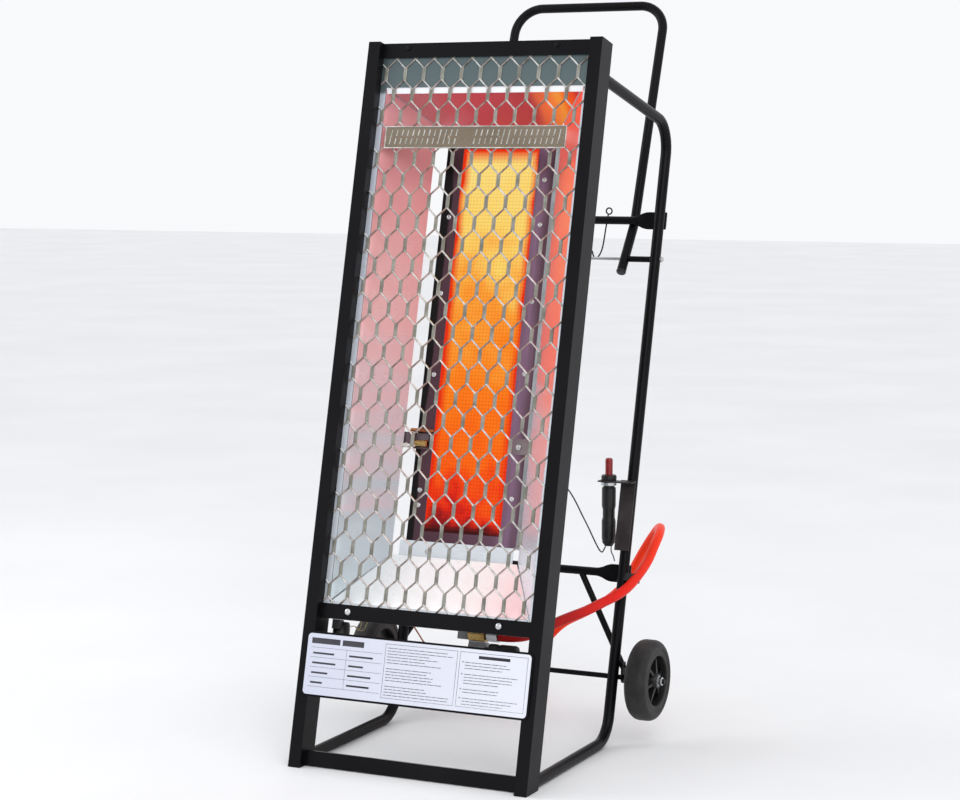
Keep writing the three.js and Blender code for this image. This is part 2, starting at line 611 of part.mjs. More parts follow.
// Hose nut, bored for the hose's tail.
const nutLeft = valveRight + 3 + GAP;
const nutRight = nutLeft + HOSE_NUT_LENGTH;
add(frame, "hose_nut", atValve(prismX(hexagon(18), nutLeft, nutRight)), zinc);

// Flame-failure unit under the valve, with a push button on its right end.
const unitTop = VALVE_HEIGHT - VALVE_ACROSS_FLATS / 2 - GAP;
const unitLeft = VALVE_LEFT + 2;
const unitRight = valveRight + 2;
add(frame, "flame_failure_unit", cut(solidOf(prismX(outline([
  [VALVE_DEPTH - 8, unitTop], [VALVE_DEPTH - 13, unitTop - 22],
  [VALVE_DEPTH + 13, unitTop - 22], [VALVE_DEPTH + 8, unitTop],
]), unitLeft, unitRight)),
rodX(4 + GAP, unitRight - 14, unitRight + 1).translate(0, VALVE_DEPTH, unitHeight)), castZinc);
const knobLeft = unitRight + VALVE_KNOB_TRAVEL + 1;
add(frame, "valve_button", union(
  rodX(10, knobLeft, knobLeft + 46, 20).translate(0, VALVE_DEPTH, unitHeight),
  rodX(4, unitRight - 6, knobLeft + 1).translate(0, VALVE_DEPTH, unitHeight)), blackPlastic);

// Tilt switch hung under the left end of the middle rail.
{
  const x = innerX - 20;
  const can = turnedZ([[0, 0], [11, 0], [13, 3], [13, 46], [10, 50], [0, 50]], 20)
    .translate(-x, 46, MIDDLE_RAIL_FOOT - GAP - 52);
  const lug = block(-x - 6, -x + 6, 26, 40, MIDDLE_RAIL_FOOT - GAP - 14, MIDDLE_RAIL_FOOT - GAP);
  add(frame, "tilt_switch", union(can, lug), blackPlastic);
}

// ---- Side loops ---------------------------------------------------------------------------
// Upper arm square to the frame, rear tube, and a skid along the floor, in one bent tube.
const rodHole = rodX(ROD_RADIUS + GAP, -halfWidth, halfWidth, 12)
  .translate(0, rearTubeY(ROD_Z), ROD_Z);
for (const [side, name] of [[-1, "side_loop_left"], [1, "side_loop_right"]]) {
  const x = side * loopX;
  const start = onFrame(UPRIGHT_DEPTH - 5, LOOP_HEIGHT);
  // The arm falls at the lean of the frame and meets the rear tube's line at the top corner.
  const fall = Math.tan(LEAN);
  const topY = (REAR_FOOT + (start.z + start.y * fall) * tan) / (1 + fall * tan);
  const topZ = start.z - (topY - start.y) * fall;
  const path = new BentPath([
    vector(x, start.y, start.z), vector(x, topY, topZ),
    vector(x, rearTubeY(loopRadius), loopRadius), vector(x, UPRIGHT_DEPTH - 5, loopRadius),
  ], [LOOP_BEND, LOOP_BEND]);
  const tube = solidOf(sweep(path, loopRadius, LOOP_WALL, 12, path.steps));
  const uprightSpace = block(-halfWidth - 20, halfWidth + 20, -60, UPRIGHT_DEPTH + GAP, -60, FRAME_HEIGHT)
    .rotateX(-LEAN);
  add(heater, name, cut(tube, uprightSpace, rodHole), powderCoat);
}

// ---- Crossbars ----------------------------------------------------------------------------
// Round tube flattened at both ends, where it is bolted behind the rear tubes.
const crossbarOff = loopRadius + GAP + CROSSBAR_PLATE / 2;
function crossbar(name, z) {
  const place = behindRearTube(z, crossbarOff);
  const end = halfWidth - 2;
  const tall = CROSSBAR_PLATE_HEIGHT / 2;
  const low = CROSSBAR_TUBE / 2 - 0.4;
  const flat = end - CROSSBAR_PLATE_LENGTH;
  const neck = flat - CROSSBAR_TAPER;
  const outlineOf = (side) => {
    const points = [[neck, -low], [flat, -tall], [end, -tall], [end, tall], [flat, tall], [neck, low]]
      .map(([x, h]) => [side * x, h]);
    return outline(side > 0 ? points : points.reverse());
  };
  const half = CROSSBAR_PLATE / 2;
  const bar = union(
    rodX(CROSSBAR_TUBE / 2, -flat + 4, flat - 4, 14),
    prismY(outlineOf(1), -half, half), prismY(outlineOf(-1), -half, half));
  const mesh = add(heater, name, bar, powderCoat);
  mesh.rotation.x = -REAR_LEAN;
  mesh.position.set(0, place.y, place.z);
  return place;
}
const upperBar = crossbar("upper_crossbar", UPPER_CROSSBAR_Z);
const lowerBar = crossbar("lower_crossbar", LOWER_CROSSBAR_Z);

// ---- Handle -------------------------------------------------------------------------------
// U-shaped tube: each leg passes behind the upper crossbar, then bends in to the rod's line.
const handleRadius = HANDLE_TUBE / 2;
const legX = halfWidth - HANDLE_INSET;
const elbowOff = crossbarOff + CROSSBAR_TUBE / 2 + GAP + handleRadius + 1.2;
const elbow = behindRearTube(UPPER_CROSSBAR_Z, elbowOff);
const rodY = rearTubeY(ROD_Z);
const handleTopY = elbow.y + (HANDLE_TOP_Z - elbow.z) * Math.tan(HANDLE_LEAN);
{
  const shin = Math.hypot(elbow.y - rodY, elbow.z - ROD_Z);
  const footY = rodY - ((elbow.y - rodY) * HANDLE_TAIL) / shin;
  const footZ = ROD_Z - ((elbow.z - ROD_Z) * HANDLE_TAIL) / shin;
  const leg = (x) => [vector(x, footY, footZ), vector(x, elbow.y, elbow.z), vector(x, handleTopY, HANDLE_TOP_Z)];
  const path = new BentPath(
    [...leg(legX), ...leg(-legX).reverse()],
    [HANDLE_ELBOW_BEND, HANDLE_BEND, HANDLE_BEND, HANDLE_ELBOW_BEND]);
  const tube = solidOf(sweep(path, handleRadius, HANDLE_WALL, 12, path.steps));
  add(heater, "handle", cut(tube, rodHole), powderCoat);
}

// Long rod through the rear tubes and both legs, with spacers between them.
const rodEnd = loopX + loopRadius + GAP;
add(heater, "handle_rod", union(
  rodX(ROD_RADIUS, -rodEnd - 1, rodEnd + 1, 12),
  rodX(ROD_HEAD_RADIUS, rodEnd, rodEnd + ROD_HEAD, 12),
  rodX(ROD_HEAD_RADIUS, -rodEnd - ROD_HEAD, -rodEnd, 12)), zinc).position.set(0, rodY, ROD_Z);
for (const [side, name] of [[-1, "rod_spacer_left"], [1, "rod_spacer_right"]]) {
  const [from, to] = [legX + handleRadius + GAP, loopX - loopRadius - GAP];
  const spacer = cut(
    solidOf(rodX(SPACER_RADIUS, Math.min(side * from, side * to), Math.max(side * from, side * to))),
    rodX(ROD_RADIUS + GAP, -halfWidth, halfWidth, 12));
  add(heater, name, spacer, powderCoat).position.set(0, rodY, ROD_Z);
}

// Wire hook on the back of the upper crossbar, for the hose: an eye above, a crook below.
{
  const wire = 1.2;
  const x = legX - HOOK_INSET;
  const y = upperBar.y + CROSSBAR_TUBE / 2 + wire + 2 * GAP;
  const top = upperBar.z;
  const crook = new BentPath([
    vector(x - 29.5, y, top - 50), vector(x - 24.5, y, top - 62),
    vector(x - 9.5, y, top - 52), vector(x - 1.5, y, top + 10),
  ], [5, 8], 3);
  const eye = new THREE.TorusGeometry(5, wire, 6, 14).rotateX(Math.PI / 2).translate(x, y, top + 14.5);
  add(heater, "hose_hook", union(sweep(crook, wire, 0, 6, crook.steps), eye), powderCoat);
}

// ---- Wheels -------------------------------------------------------------------------------
// One axle welded across the back of the rear tubes.
const axleY = rearTubeY(WHEEL_Z) + (loopRadius + GAP + AXLE_RADIUS) / Math.cos(REAR_LEAN);
const bossEnd = WHEEL_FACE_X + 1;
add(heater, "axle", union(
  rodX(AXLE_RADIUS, -AXLE_END_X, AXLE_END_X, 16),
  ...[-1, 1].map((side) => prismX(hexagon(14), -3, 3).translate(side * (bossEnd + 3 + 2 * GAP), 0, 0))),
zinc).position.set(0, axleY, WHEEL_Z);

// A wheel: a solid rubber tyre on a plastic hub with a web and a boss.
for (const [side, name] of [[-1, "left"], [1, "right"]]) {
  const inner = WHEEL_FACE_X - WHEEL_WIDTH;
  const bore = AXLE_RADIUS + AXLE_CLEARANCE;
  const R = WHEEL_RADIUS;
  const tyre = turnedX([
    [RIM_RADIUS, inner + 3], [RIM_RADIUS + 7, inner], [R - 6, inner], [R - 1, inner + 4],
    [R, inner + WHEEL_WIDTH / 2], [R - 1, WHEEL_FACE_X - 4], [R - 6, WHEEL_FACE_X],
    [RIM_RADIUS + 7, WHEEL_FACE_X], [RIM_RADIUS, WHEEL_FACE_X - 3], [RIM_RADIUS, inner + 3],
  ], 36);
  const rim = RIM_RADIUS - GAP;
  const [web0, web1] = [inner + 13, inner + 19];
  const hub = turnedX([
    [bore, inner + 1], [12, inner + 1], [12, web0], [rim - 4, web0], [rim - 4, inner + 5], [rim, inner + 5],
    [rim, WHEEL_FACE_X - 5], [rim - 4, WHEEL_FACE_X - 5], [rim - 4, web1], [12, web1],
    [12, bossEnd], [bore, bossEnd], [bore, inner + 1],
  ], 30);
  // The lathe's x runs the other way, so the right wheel is the one that is turned round.
  const face = side > 0 ? Math.PI : 0;
  for (const [kind, geometry, material] of [["tyre", tyre, rubber], ["hub", hub, blackPlastic]]) {
    const centred = geometry.translate(0, 0, 0).rotateY(face);
    centred.computeBoundingBox();
    const { min, max } = centred.boundingBox;
    const away = side > 0 ? min.x < 0 && max.x < 0 : min.x > 0 && max.x > 0;
    if (away) centred.rotateY(Math.PI);
    add(heater, `${kind}_${name}`, centred, material).position.set(0, axleY, WHEEL_Z);
  }
}

// Stays from the lower crossbar down to the axle's outer ends.
for (const [side, name] of [[-1, "wheel_stay_left"], [1, "wheel_stay_right"]]) {
  const plateX = halfWidth + 1;
  const top = vector(side * STAY_TOP_X, lowerBar.y, lowerBar.z - CROSSBAR_TUBE / 2 - GAP - STAY_RADIUS - 1);
  const foot = vector(side * (plateX + STAY_PLATE / 2), axleY + 2, WHEEL_Z + 14);
  const tab = block(
    side > 0 ? plateX : -plateX - STAY_PLATE, side > 0 ? plateX + STAY_PLATE : -plateX,
    axleY - 8, axleY + 8, WHEEL_Z - 9, WHEEL_Z + 24);
  const behindTube = rodBetween(
    vector(side * loopX, rearTubeY(0), 0), vector(side * loopX, rearTubeY(400), 400),
    loopRadius + GAP, 16);
  const axleSpace = rodX(AXLE_RADIUS + GAP, -AXLE_END_X, AXLE_END_X).translate(0, axleY, WHEEL_Z);
  add(heater, name, cut(
    union(rodBetween(top, foot, STAY_RADIUS), tab), axleSpace, behindTube), powderCoat);
}

// ---- Igniter ------------------------------------------------------------------------------
// Bracket: a plate along the front of the right rear tube, and a shelf with the igniter's hole.
const shelfTop = IGNITER_TOP_Z - 8 - GAP;
const shelfFoot = shelfTop - 2;
{
  const plateHeight = 110;
  const top = shelfTop;
  const front = -(loopRadius + GAP + 2);
  const plate = block(loopX - 15, loopX + 9, front, front + 2, -plateHeight / 2, plateHeight / 2);
  const middleZ = top - plateHeight / 2;
  plate.rotateX(-REAR_LEAN).translate(0, rearTubeY(middleZ), middleZ);
  const shelf = block(IGNITER_X - 14, loopX + 9, IGNITER_Y - 13, rearTubeY(top) - loopRadius - 2, shelfFoot, shelfTop);
  const hole = new THREE.CylinderGeometry(IGNITER_NECK + GAP, IGNITER_NECK + GAP, 30, 20)
    .rotateX(Math.PI / 2).translate(IGNITER_X, IGNITER_Y, shelfTop);
  add(heater, "igniter_bracket", cut(union(plate, shelf), hole), powderCoat);
}
{
  const r = IGNITER_RADIUS;
  const neck = IGNITER_NECK;
  const top = IGNITER_TOP_Z;
  const foot = IGNITER_FOOT_Z;
  const shoulder = shelfFoot - 9;
  const well = BUTTON_RADIUS + GAP;
  const body = turnedZ([
    [0, foot], [r - 4, foot], [r - 1, foot + 4], [r, foot + 14], [r - 1.5, foot + 44],
    [r - 1.5, foot + 58], [r, foot + 64], [r, shoulder], [neck, shoulder], [neck, shelfTop + GAP],
    [r + 1, shelfTop + GAP], [r + 1, top - 2], [r - 1, top], [well, top], [well, top - 18], [0, top - 18],
  ], 20).translate(IGNITER_X, IGNITER_Y, 0);
  add(heater, "igniter_body", body, blackPlastic);
  const ring = turnedZ([
    [neck + GAP, shelfFoot - 6], [12.5, shelfFoot - 6], [12.5, shelfFoot - GAP],
    [neck + GAP, shelfFoot - GAP], [neck + GAP, shelfFoot - 6],
  ], 20).translate(IGNITER_X, IGNITER_Y, 0);
  add(heater, "igniter_nut", ring, zinc);
  const rest = top - 18 + BUTTON_TRAVEL + 1;
  const button = turnedZ([
    [0, rest], [BUTTON_RADIUS, rest], [BUTTON_RADIUS, top + BUTTON_RISE - 1],
    [BUTTON_RADIUS - 1, top + BUTTON_RISE], [0, top + BUTTON_RISE],
  ], 16).translate(IGNITER_X, IGNITER_Y, 0);
  add(heater, "igniter_button", button, redPlastic);
}

// Ignition lead: from the foot of the igniter, behind the burner, to the pilot strap.
{
  const pilot = onFrame(THROAT_DEPTH + 3 * SHEET + 2 * GAP, STRAP_MIDDLE);
  const lead = new THREE.CatmullRomCurve3([
    vector(IGNITER_X - 4, IGNITER_Y - 3, IGNITER_FOOT_Z - 1.5), vector(IGNITER_X - 7, IGNITER_Y - 18, IGNITER_FOOT_Z - 6),
    vector(IGNITER_X - 16, IGNITER_Y - 60, 345), vector(124, 300, 402), vector(70, 294, 440),
    vector(-40, 301, 458), vector(-84, 299, 466), vector(-104, 276, 472),
    vector(-108, pilot.y + 14, pilot.z + 2), vector(-108, pilot.y, pilot.z),
  ]);
  add(heater, "ignition_lead", sweep(lead, 1.1, 0, 6, 24), blackPlastic);
}

// ---- Gas hose, coil and regulator ---------------------------------------------------------
// The hose leaves the nut to the right, passes outside the right rear tube, loops behind it and
// comes down to the floor, where the rest lies in a coil.
const nutEnd = onFrame(VALVE_DEPTH, VALVE_HEIGHT);
const hoseRoute = [
  [nutRight + 3 * GAP, nutEnd.y, nutEnd.z], [82, 191, 184.5], [102, 195, 187], [122, 203, 194],
  [142, 217, 206], [157, 241, 213], [170, 270, 218], [182, 303, 225], [194, 332, 232],
  [203, 362, 242], [208, 394, 257], [211, 424, 274], [212, 452, 296], [210, 474, 308], [201, 503, 313], [187, 529, 307],
  [170, 547, 290], [153, 554, 266], [141, 551, 243], [126, 540, 210],
  [101, 522, 184], [71, 503, 166], [41, 484, 149], [19, 470, 124],
  [4, 460, 96], [-10, 453, 68], [-30, 450, 43], [-54, 450, 29], [-84, 452, 23],
];
const coilRing = turnedZ([
  [COIL_RADIUS - HOSE_RADIUS, 0.2], [COIL_RADIUS + HOSE_RADIUS, 0.2],
  [COIL_RADIUS + HOSE_RADIUS, 4 * HOSE_RADIUS + 1], [COIL_RADIUS - HOSE_RADIUS, 4 * HOSE_RADIUS + 1],
  [COIL_RADIUS - HOSE_RADIUS, 0.2],
], 30).translate(COIL_MIDDLE.x, COIL_MIDDLE.y, 0);
const coilSpace = turnedZ([
  [COIL_RADIUS - HOSE_RADIUS - GAP, -5], [COIL_RADIUS + HOSE_RADIUS + GAP, -5],
  [COIL_RADIUS + HOSE_RADIUS + GAP, 60], [COIL_RADIUS - HOSE_RADIUS - GAP, 60],
  [COIL_RADIUS - HOSE_RADIUS - GAP, -5],
], 30).translate(COIL_MIDDLE.x, COIL_MIDDLE.y, 0);
{
  const route = new THREE.CatmullRomCurve3(hoseRoute.map((point) => vector(...point)));
  const tube = solidOf(sweep(route, HOSE_RADIUS, 0, 10, 44));
  // The ring's far side isn't in the way, so only the piece before it is kept.
  const pieces = cut(tube, coilSpace).decompose();
  add(cord, "gas_hose", pieces.sort((a, b) => b.volume() - a.volume())[0], hoseRubber);
  add(cord, "hose_coil", coilRing, hoseRubber);
}

// The hose's end leaves the coil at its front left and runs straight into the regulator.
const exitAngle = THREE.MathUtils.degToRad(-150);
const exitWay = vector(Math.sin(exitAngle), -Math.cos(exitAngle), 0);
const exitPoint = vector(
  COIL_MIDDLE.x + COIL_RADIUS * Math.cos(exitAngle), COIL_MIDDLE.y + COIL_RADIUS * Math.sin(exitAngle),
  HOSE_RADIUS + 0.2);
const nozzleZ = 13;
const nozzleStart = exitPoint.clone().addScaledVector(exitWay, 62).setZ(nozzleZ);
{
  const tailPath = new THREE.CatmullRomCurve3([
    exitPoint, exitPoint.clone().addScaledVector(exitWay, 22),
    exitPoint.clone().addScaledVector(exitWay, 44).setZ(nozzleZ - 2.5), nozzleStart,
  ]);
  const tail = cut(solidOf(sweep(tailPath, HOSE_RADIUS, 0, 10, 5)), coilSpace).decompose();
  add(cord, "gas_hose_tail", tail.sort((a, b) => b.volume() - a.volume())[0], hoseRubber);

  // Regulator: a flat drum with an outlet on one side and the bottle nut on the other.
  const unit = new THREE.Group();
  unit.position.copy(nozzleStart).addScaledVector(exitWay, 3 * GAP);
  unit.rotation.z = Math.atan2(exitWay.y, exitWay.x);
  const drum = turnedZ([[0, -12.5], [25, -12.5], [27, -10], [27, 2], [24, 10], [10, 13], [0, 13]], 24)
    .translate(42, 0, 0);
  add(unit, "regulator", union(drum, rodX(6.5, 0, 20, 12), rodX(8, 65, 78, 12)), castZinc);
  const nut = cut(solidOf(prismX(hexagon(24), 70, 92)), rodX(8 + GAP, 60, 79, 12), rodX(5, 60, 95, 12));
  add(unit, "bottle_nut", nut, brass);
  cord.add(unit);
}

// ---- Assembly -----------------------------------------------------------------------------
// The whole model moves forward, so that the origin is under the middle of the heater.
heater.add(frame);
heater.updateMatrixWorld(true);
const bounds = new THREE.Box3().setFromObject(heater, true);
heater.add(cord);
heater.position.y = -(bounds.min.y + bounds.max.y) / 2;

export default heater;
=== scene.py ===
"""A portable gas radiant heater on a tubular trolley, lit, standing on a pale studio floor.

Everything is in metres: X to the right of someone facing the burner, Y to the back, Z up.
"""

import bmesh
import bpy
import numpy as np
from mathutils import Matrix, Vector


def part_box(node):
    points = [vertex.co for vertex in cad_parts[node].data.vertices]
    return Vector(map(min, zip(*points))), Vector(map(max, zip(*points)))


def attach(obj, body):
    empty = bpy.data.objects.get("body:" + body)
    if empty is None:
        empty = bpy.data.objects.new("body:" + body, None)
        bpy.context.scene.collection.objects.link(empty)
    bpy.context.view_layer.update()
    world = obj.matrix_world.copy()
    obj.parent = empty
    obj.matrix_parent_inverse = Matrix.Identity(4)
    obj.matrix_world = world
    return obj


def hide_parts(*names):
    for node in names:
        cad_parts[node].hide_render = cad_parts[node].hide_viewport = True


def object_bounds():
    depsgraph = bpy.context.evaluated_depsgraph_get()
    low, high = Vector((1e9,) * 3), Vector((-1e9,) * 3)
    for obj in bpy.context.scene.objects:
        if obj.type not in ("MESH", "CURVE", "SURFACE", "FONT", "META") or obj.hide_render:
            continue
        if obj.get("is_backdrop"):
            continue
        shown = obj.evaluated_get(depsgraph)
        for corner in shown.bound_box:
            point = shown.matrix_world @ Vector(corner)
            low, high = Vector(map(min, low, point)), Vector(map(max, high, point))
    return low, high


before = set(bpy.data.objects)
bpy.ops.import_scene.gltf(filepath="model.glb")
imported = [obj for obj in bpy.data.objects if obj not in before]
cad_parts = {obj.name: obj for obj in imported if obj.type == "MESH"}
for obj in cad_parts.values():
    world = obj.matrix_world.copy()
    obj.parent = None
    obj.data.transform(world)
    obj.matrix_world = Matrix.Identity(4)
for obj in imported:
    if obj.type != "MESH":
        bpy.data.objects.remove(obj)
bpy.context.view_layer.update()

# ---- Studio -----------------------------------------------------------------------------
# A pale seamless floor under an even white sky, with two big soft lights. The camera stands
# to the heater's front right, a little below its top, and looks slightly down.
scene = bpy.context.scene
scene.view_settings.view_transform = "Standard"
scene.view_settings.look = "None"

world = bpy.data.worlds.new("studio_sky")
scene.world = world
world.use_nodes = True
world.node_tree.nodes["Background"].inputs["Color"].default_value = (0.97, 0.98, 1.0, 1.0)
world.node_tree.nodes["Background"].inputs["Strength"].default_value = 0.97

for name, place, turn, size, watts in [
    ("front_softbox", (1.9, -2.6, 2.5), (52, 0, 36), 1.6, 26),
    ("left_softbox", (-2.4, -0.9, 1.8), (68, 0, -70), 1.4, 16),
]:
    lamp = bpy.data.lights.new(name, "AREA")
    lamp.size = size
    lamp.energy = watts
    softbox = bpy.data.objects.new(name, lamp)
    softbox.location = place
    softbox.rotation_euler = np.radians(turn)
    scene.collection.objects.link(softbox)

lens = bpy.data.cameras.new("camera")
lens.lens = 86.85
lens.sensor_width = 36
camera = bpy.data.objects.new("camera", lens)
camera.location = (1.5177, -3.2658, 0.907)
camera.rotation_euler = np.radians((83.94, 0, 25.55))
scene.collection.objects.link(camera)
scene.camera = camera


def add_mesh(name, points, faces, crease=38):
    """A mesh object from rows of points and arrays of corner numbers.

    Doubled points, as at seams and poles, are merged, faces are turned outwards, and edges
    sharper than the crease angle in degrees stay sharp.
    """
    corners = [face for array in faces for face in np.asarray(array).tolist()]
    mesh = bpy.data.meshes.new(name)
    mesh.from_pydata(np.asarray(points, float).reshape(-1, 3).tolist(), [], corners)
    shell = bmesh.new()
    shell.from_mesh(mesh)
    bmesh.ops.remove_doubles(shell, verts=shell.verts, dist=2e-6)
    bmesh.ops.dissolve_degenerate(shell, edges=shell.edges, dist=1e-7)
    bmesh.ops.recalc_face_normals(shell, faces=shell.faces)
    shell.to_mesh(mesh)
    shell.free()
    mesh.shade_smooth()
    mesh.set_sharp_from_angle(angle=np.radians(crease))
    piece = bpy.data.objects.new(name, mesh)
    scene.collection.objects.link(piece)
    return piece


def node(tree, kind, inputs=None, **settings):
    """A shader node, with its settings, and each input either linked or given a value."""
    made = tree.nodes.new(kind)
    for key, value in settings.items():
        setattr(made, key, value)
    for key, value in (inputs or {}).items():
        if isinstance(value, bpy.types.NodeSocket):
            tree.links.new(value, made.inputs[key])
        else:
            made.inputs[key].default_value = value
    return made


def new_material(name):
    """An empty node material: its tree, and its Principled shader."""
    material = bpy.data.materials.new(name)
    material.use_nodes = True
    return material, material.node_tree, material.node_tree.nodes["Principled BSDF"]


def ramp(tree, factor, stops):
    """A colour ramp from (place, colour) pairs."""
    made = node(tree, "ShaderNodeValToRGB", {"Fac": factor})
    marks = made.color_ramp.elements
    while len(marks) < len(stops):
        marks.new(0.5)
    for mark, (place, colour) in zip(marks, stops):
        mark.position = place
        mark.color = (*colour, 1.0)
    return made.outputs["Color"]


def math(tree, operation, first, second=0.0, clamp=False):
    """One arithmetic node on values or sockets."""
    made = node(tree, "ShaderNodeMath", {0: first, 1: second}, operation=operation)
    made.use_clamp = clamp
    return made.outputs[0]


def between(tree, value, low, high, to_low=0.0, to_high=1.0):
    """A value that runs from to_low at low to to_high at high, and stays there beyond."""
    made = node(tree, "ShaderNodeMapRange", {
        "Value": value, "From Min": low, "From Max": high, "To Min": to_low, "To Max": to_high})
    return made.outputs["Result"]


# Every coating and casting has soft clouds and a fine grain, so both come from one group.
grain = bpy.data.node_groups.new("clouds_and_grain", "ShaderNodeTree")
for words in ("Cloud Scale", "Grain Scale"):
    grain.interface.new_socket(words, in_out="INPUT", socket_type="NodeSocketFloat")
for words in ("Clouds", "Grain"):
    grain.interface.new_socket(words, in_out="OUTPUT", socket_type="NodeSocketFloat")
grain_in = node(grain, "NodeGroupInput")
grain_out = node(grain, "NodeGroupOutput")
grain_place = node(grain, "ShaderNodeTexCoord").outputs["Object"]
for words, detail in (("Cloud", 4.0), ("Grain", 2.0)):
    noise = node(grain, "ShaderNodeTexNoise", {
        "Vector": grain_place, "Scale": grain_in.outputs[words + " Scale"], "Detail": detail})
    grain.links.new(noise.outputs["Fac"], grain_out.inputs[{"Cloud": "Clouds"}.get(words, words)])


def grained(name, clouds, fine, relief, depth):
    """A new material with its grain in relief: it, its tree and shader, the clouds, the grain."""
    material, tree, shader = new_material(name)
    pattern = node(tree, "ShaderNodeGroup", node_tree=grain)
    pattern.inputs["Cloud Scale"].default_value = clouds
    pattern.inputs["Grain Scale"].default_value = fine
    bump = node(tree, "ShaderNodeBump", {
        "Height": pattern.outputs["Grain"], "Strength": relief, "Distance": depth})
    tree.links.new(bump.outputs["Normal"], shader.inputs["Normal"])
    return material, tree, shader, pattern.outputs["Clouds"], pattern.outputs["Grain"]


def coated(name, dark, light, rough=(0.4, 0.5), metallic=0.0, specular=0.5,
           clouds=14.0, fine=900.0, relief=0.3, depth=0.00005, coat=0.0):
    """A finish that drifts between two tints and two roughnesses, with a fine grain in relief."""
    material, tree, shader, cloud, fleck = grained(name, clouds, fine, relief, depth)
    drift = between(tree, cloud, 0.35, 0.65)
    tree.links.new(ramp(tree, drift, [(0, dark), (1, light)]), shader.inputs["Base Color"])
    tree.links.new(between(tree, fleck, 0.3, 0.7, *rough), shader.inputs["Roughness"])
    shader.inputs["Metallic"].default_value = metallic
    shader.inputs["Specular IOR Level"].default_value = specular
    shader.inputs["Coat Weight"].default_value = coat
    return material


def cover(material, *names):
    """Gives CAD nodes a material."""
    for name in names:
        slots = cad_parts[name].data.materials
        slots.clear()
        slots.append(material)


def finished(piece, material, slot_name, *stands_for, body="stand"):
    """Gives a new piece its material, its body and the CAD nodes it stands for. slot_name is not
    used.
    """
    piece.data.materials.append(material)
    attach(piece, body)
    if stands_for:
        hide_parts(*stands_for)
    return piece


floor_paint = coated("seamless_floor", (0.86, 0.86, 0.87), (0.9, 0.9, 0.91), (0.7, 0.8),
                     clouds=1.5, fine=60.0, relief=0.02)
floor_side = np.array([-20.0, 20.0])
floor_points = np.array([[x, y, 0.0] for y in floor_side for x in floor_side])
floor = add_mesh("studio_floor", floor_points, [[[0, 1, 3, 2]]])
floor.data.materials.append(floor_paint)
floor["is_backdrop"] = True

# ---- Gas hose ---------------------------------------------------------------------------
# Smooth red-orange rubber hose, 15 mm over, from the nut at the valve to a regulator. It
# passes outside the right rear tube, is strapped there, turns back behind it, and its spare
# length lies on the floor in a tied coil.
FRONT_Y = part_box("front_upright_left")[0][1]
HOSE_RADIUS = 0.0075
COIL_CENTRE = np.array([-0.112, 0.528])
COIL_RADIUS = 0.076


def smooth_line(points, per_span=8):
    """A curve through points, each span a cubic whose end slopes follow its neighbours."""
    p = np.vstack([2 * points[0] - points[1], points, 2 * points[-1] - points[-2]])
    t = np.linspace(0, 1, per_span, endpoint=False)[None, :, None]
    a, b, c, d = (p[k:len(p) - 3 + k, None, :] for k in range(4))
    spans = 0.5 * (2 * b + (c - a) * t + (2 * a - 5 * b + 4 * c - d) * t**2
                   + (3 * b - a - 3 * c + d) * t**3)
    return np.vstack([spans.reshape(-1, 3), points[-1:]])


def even_line(points, step):
    """The same line with stations a steady distance apart."""
    run = np.r_[0, np.cumsum(np.linalg.norm(np.diff(points, axis=0), axis=1))]
    stations = np.linspace(0, run[-1], max(2, int(round(run[-1] / step)) + 1))
    return np.stack([np.interp(stations, run, points[:, k]) for k in range(3)], axis=1)


def tube(name, line, radius, reference=(0, 0, 1), sides=20, round_end=0.0):
    """A round tube: at each station a circle in the plane square to the line.

    Its angle is counted from the reference direction. radius is one value or one for each
    station. Ends close with a flat cap, drawn in by round_end times the radius if that is set.
    """
    line = np.asarray(line, float)
    along = np.gradient(line, axis=0)
    along /= np.linalg.norm(along, axis=1, keepdims=True)
    radius = np.broadcast_to(np.asarray(radius, float), (len(line),)).copy()
    if round_end:
        ease = round_end * radius[[0, -1]]
        line = np.vstack([line[0], line[0] + along[0] * ease[0], line[1:-1],
                          line[-1] - along[-1] * ease[1], line[-1]])
        along = np.vstack([along[:1], along, along[-1:]])
        radius = np.r_[radius[0] - ease[0], radius, radius[-1] - ease[1]]
    first = np.asarray(reference, float) - along * (along @ np.asarray(reference, float))[:, None]
    first /= np.linalg.norm(first, axis=1, keepdims=True)
    second = np.cross(along, first)
    angle = np.linspace(0, 2 * np.pi, sides, endpoint=False)
    ring = (np.cos(angle)[None, :, None] * first[:, None, :]
            + np.sin(angle)[None, :, None] * second[:, None, :])
    points = line[:, None, :] + ring * radius[:, None, None]
    return add_mesh(name, points, [grid_faces(len(line), sides), [np.arange(sides)[::-1]],
                                   [(len(line) - 1) * sides + np.arange(sides)]])


def grid_faces(rows, columns, closed=True):
    """Quads over a grid of points, its columns joined round where it is closed."""
    row, column = np.meshgrid(np.arange(rows - 1), np.arange(columns - (not closed)),
                              indexing="ij")
    after = (column + 1) % columns
    corners = [row * columns + column, row * columns + after,
               (row + 1) * columns + after, (row + 1) * columns + column]
    return np.stack(corners, axis=-1).reshape(-1, 4)


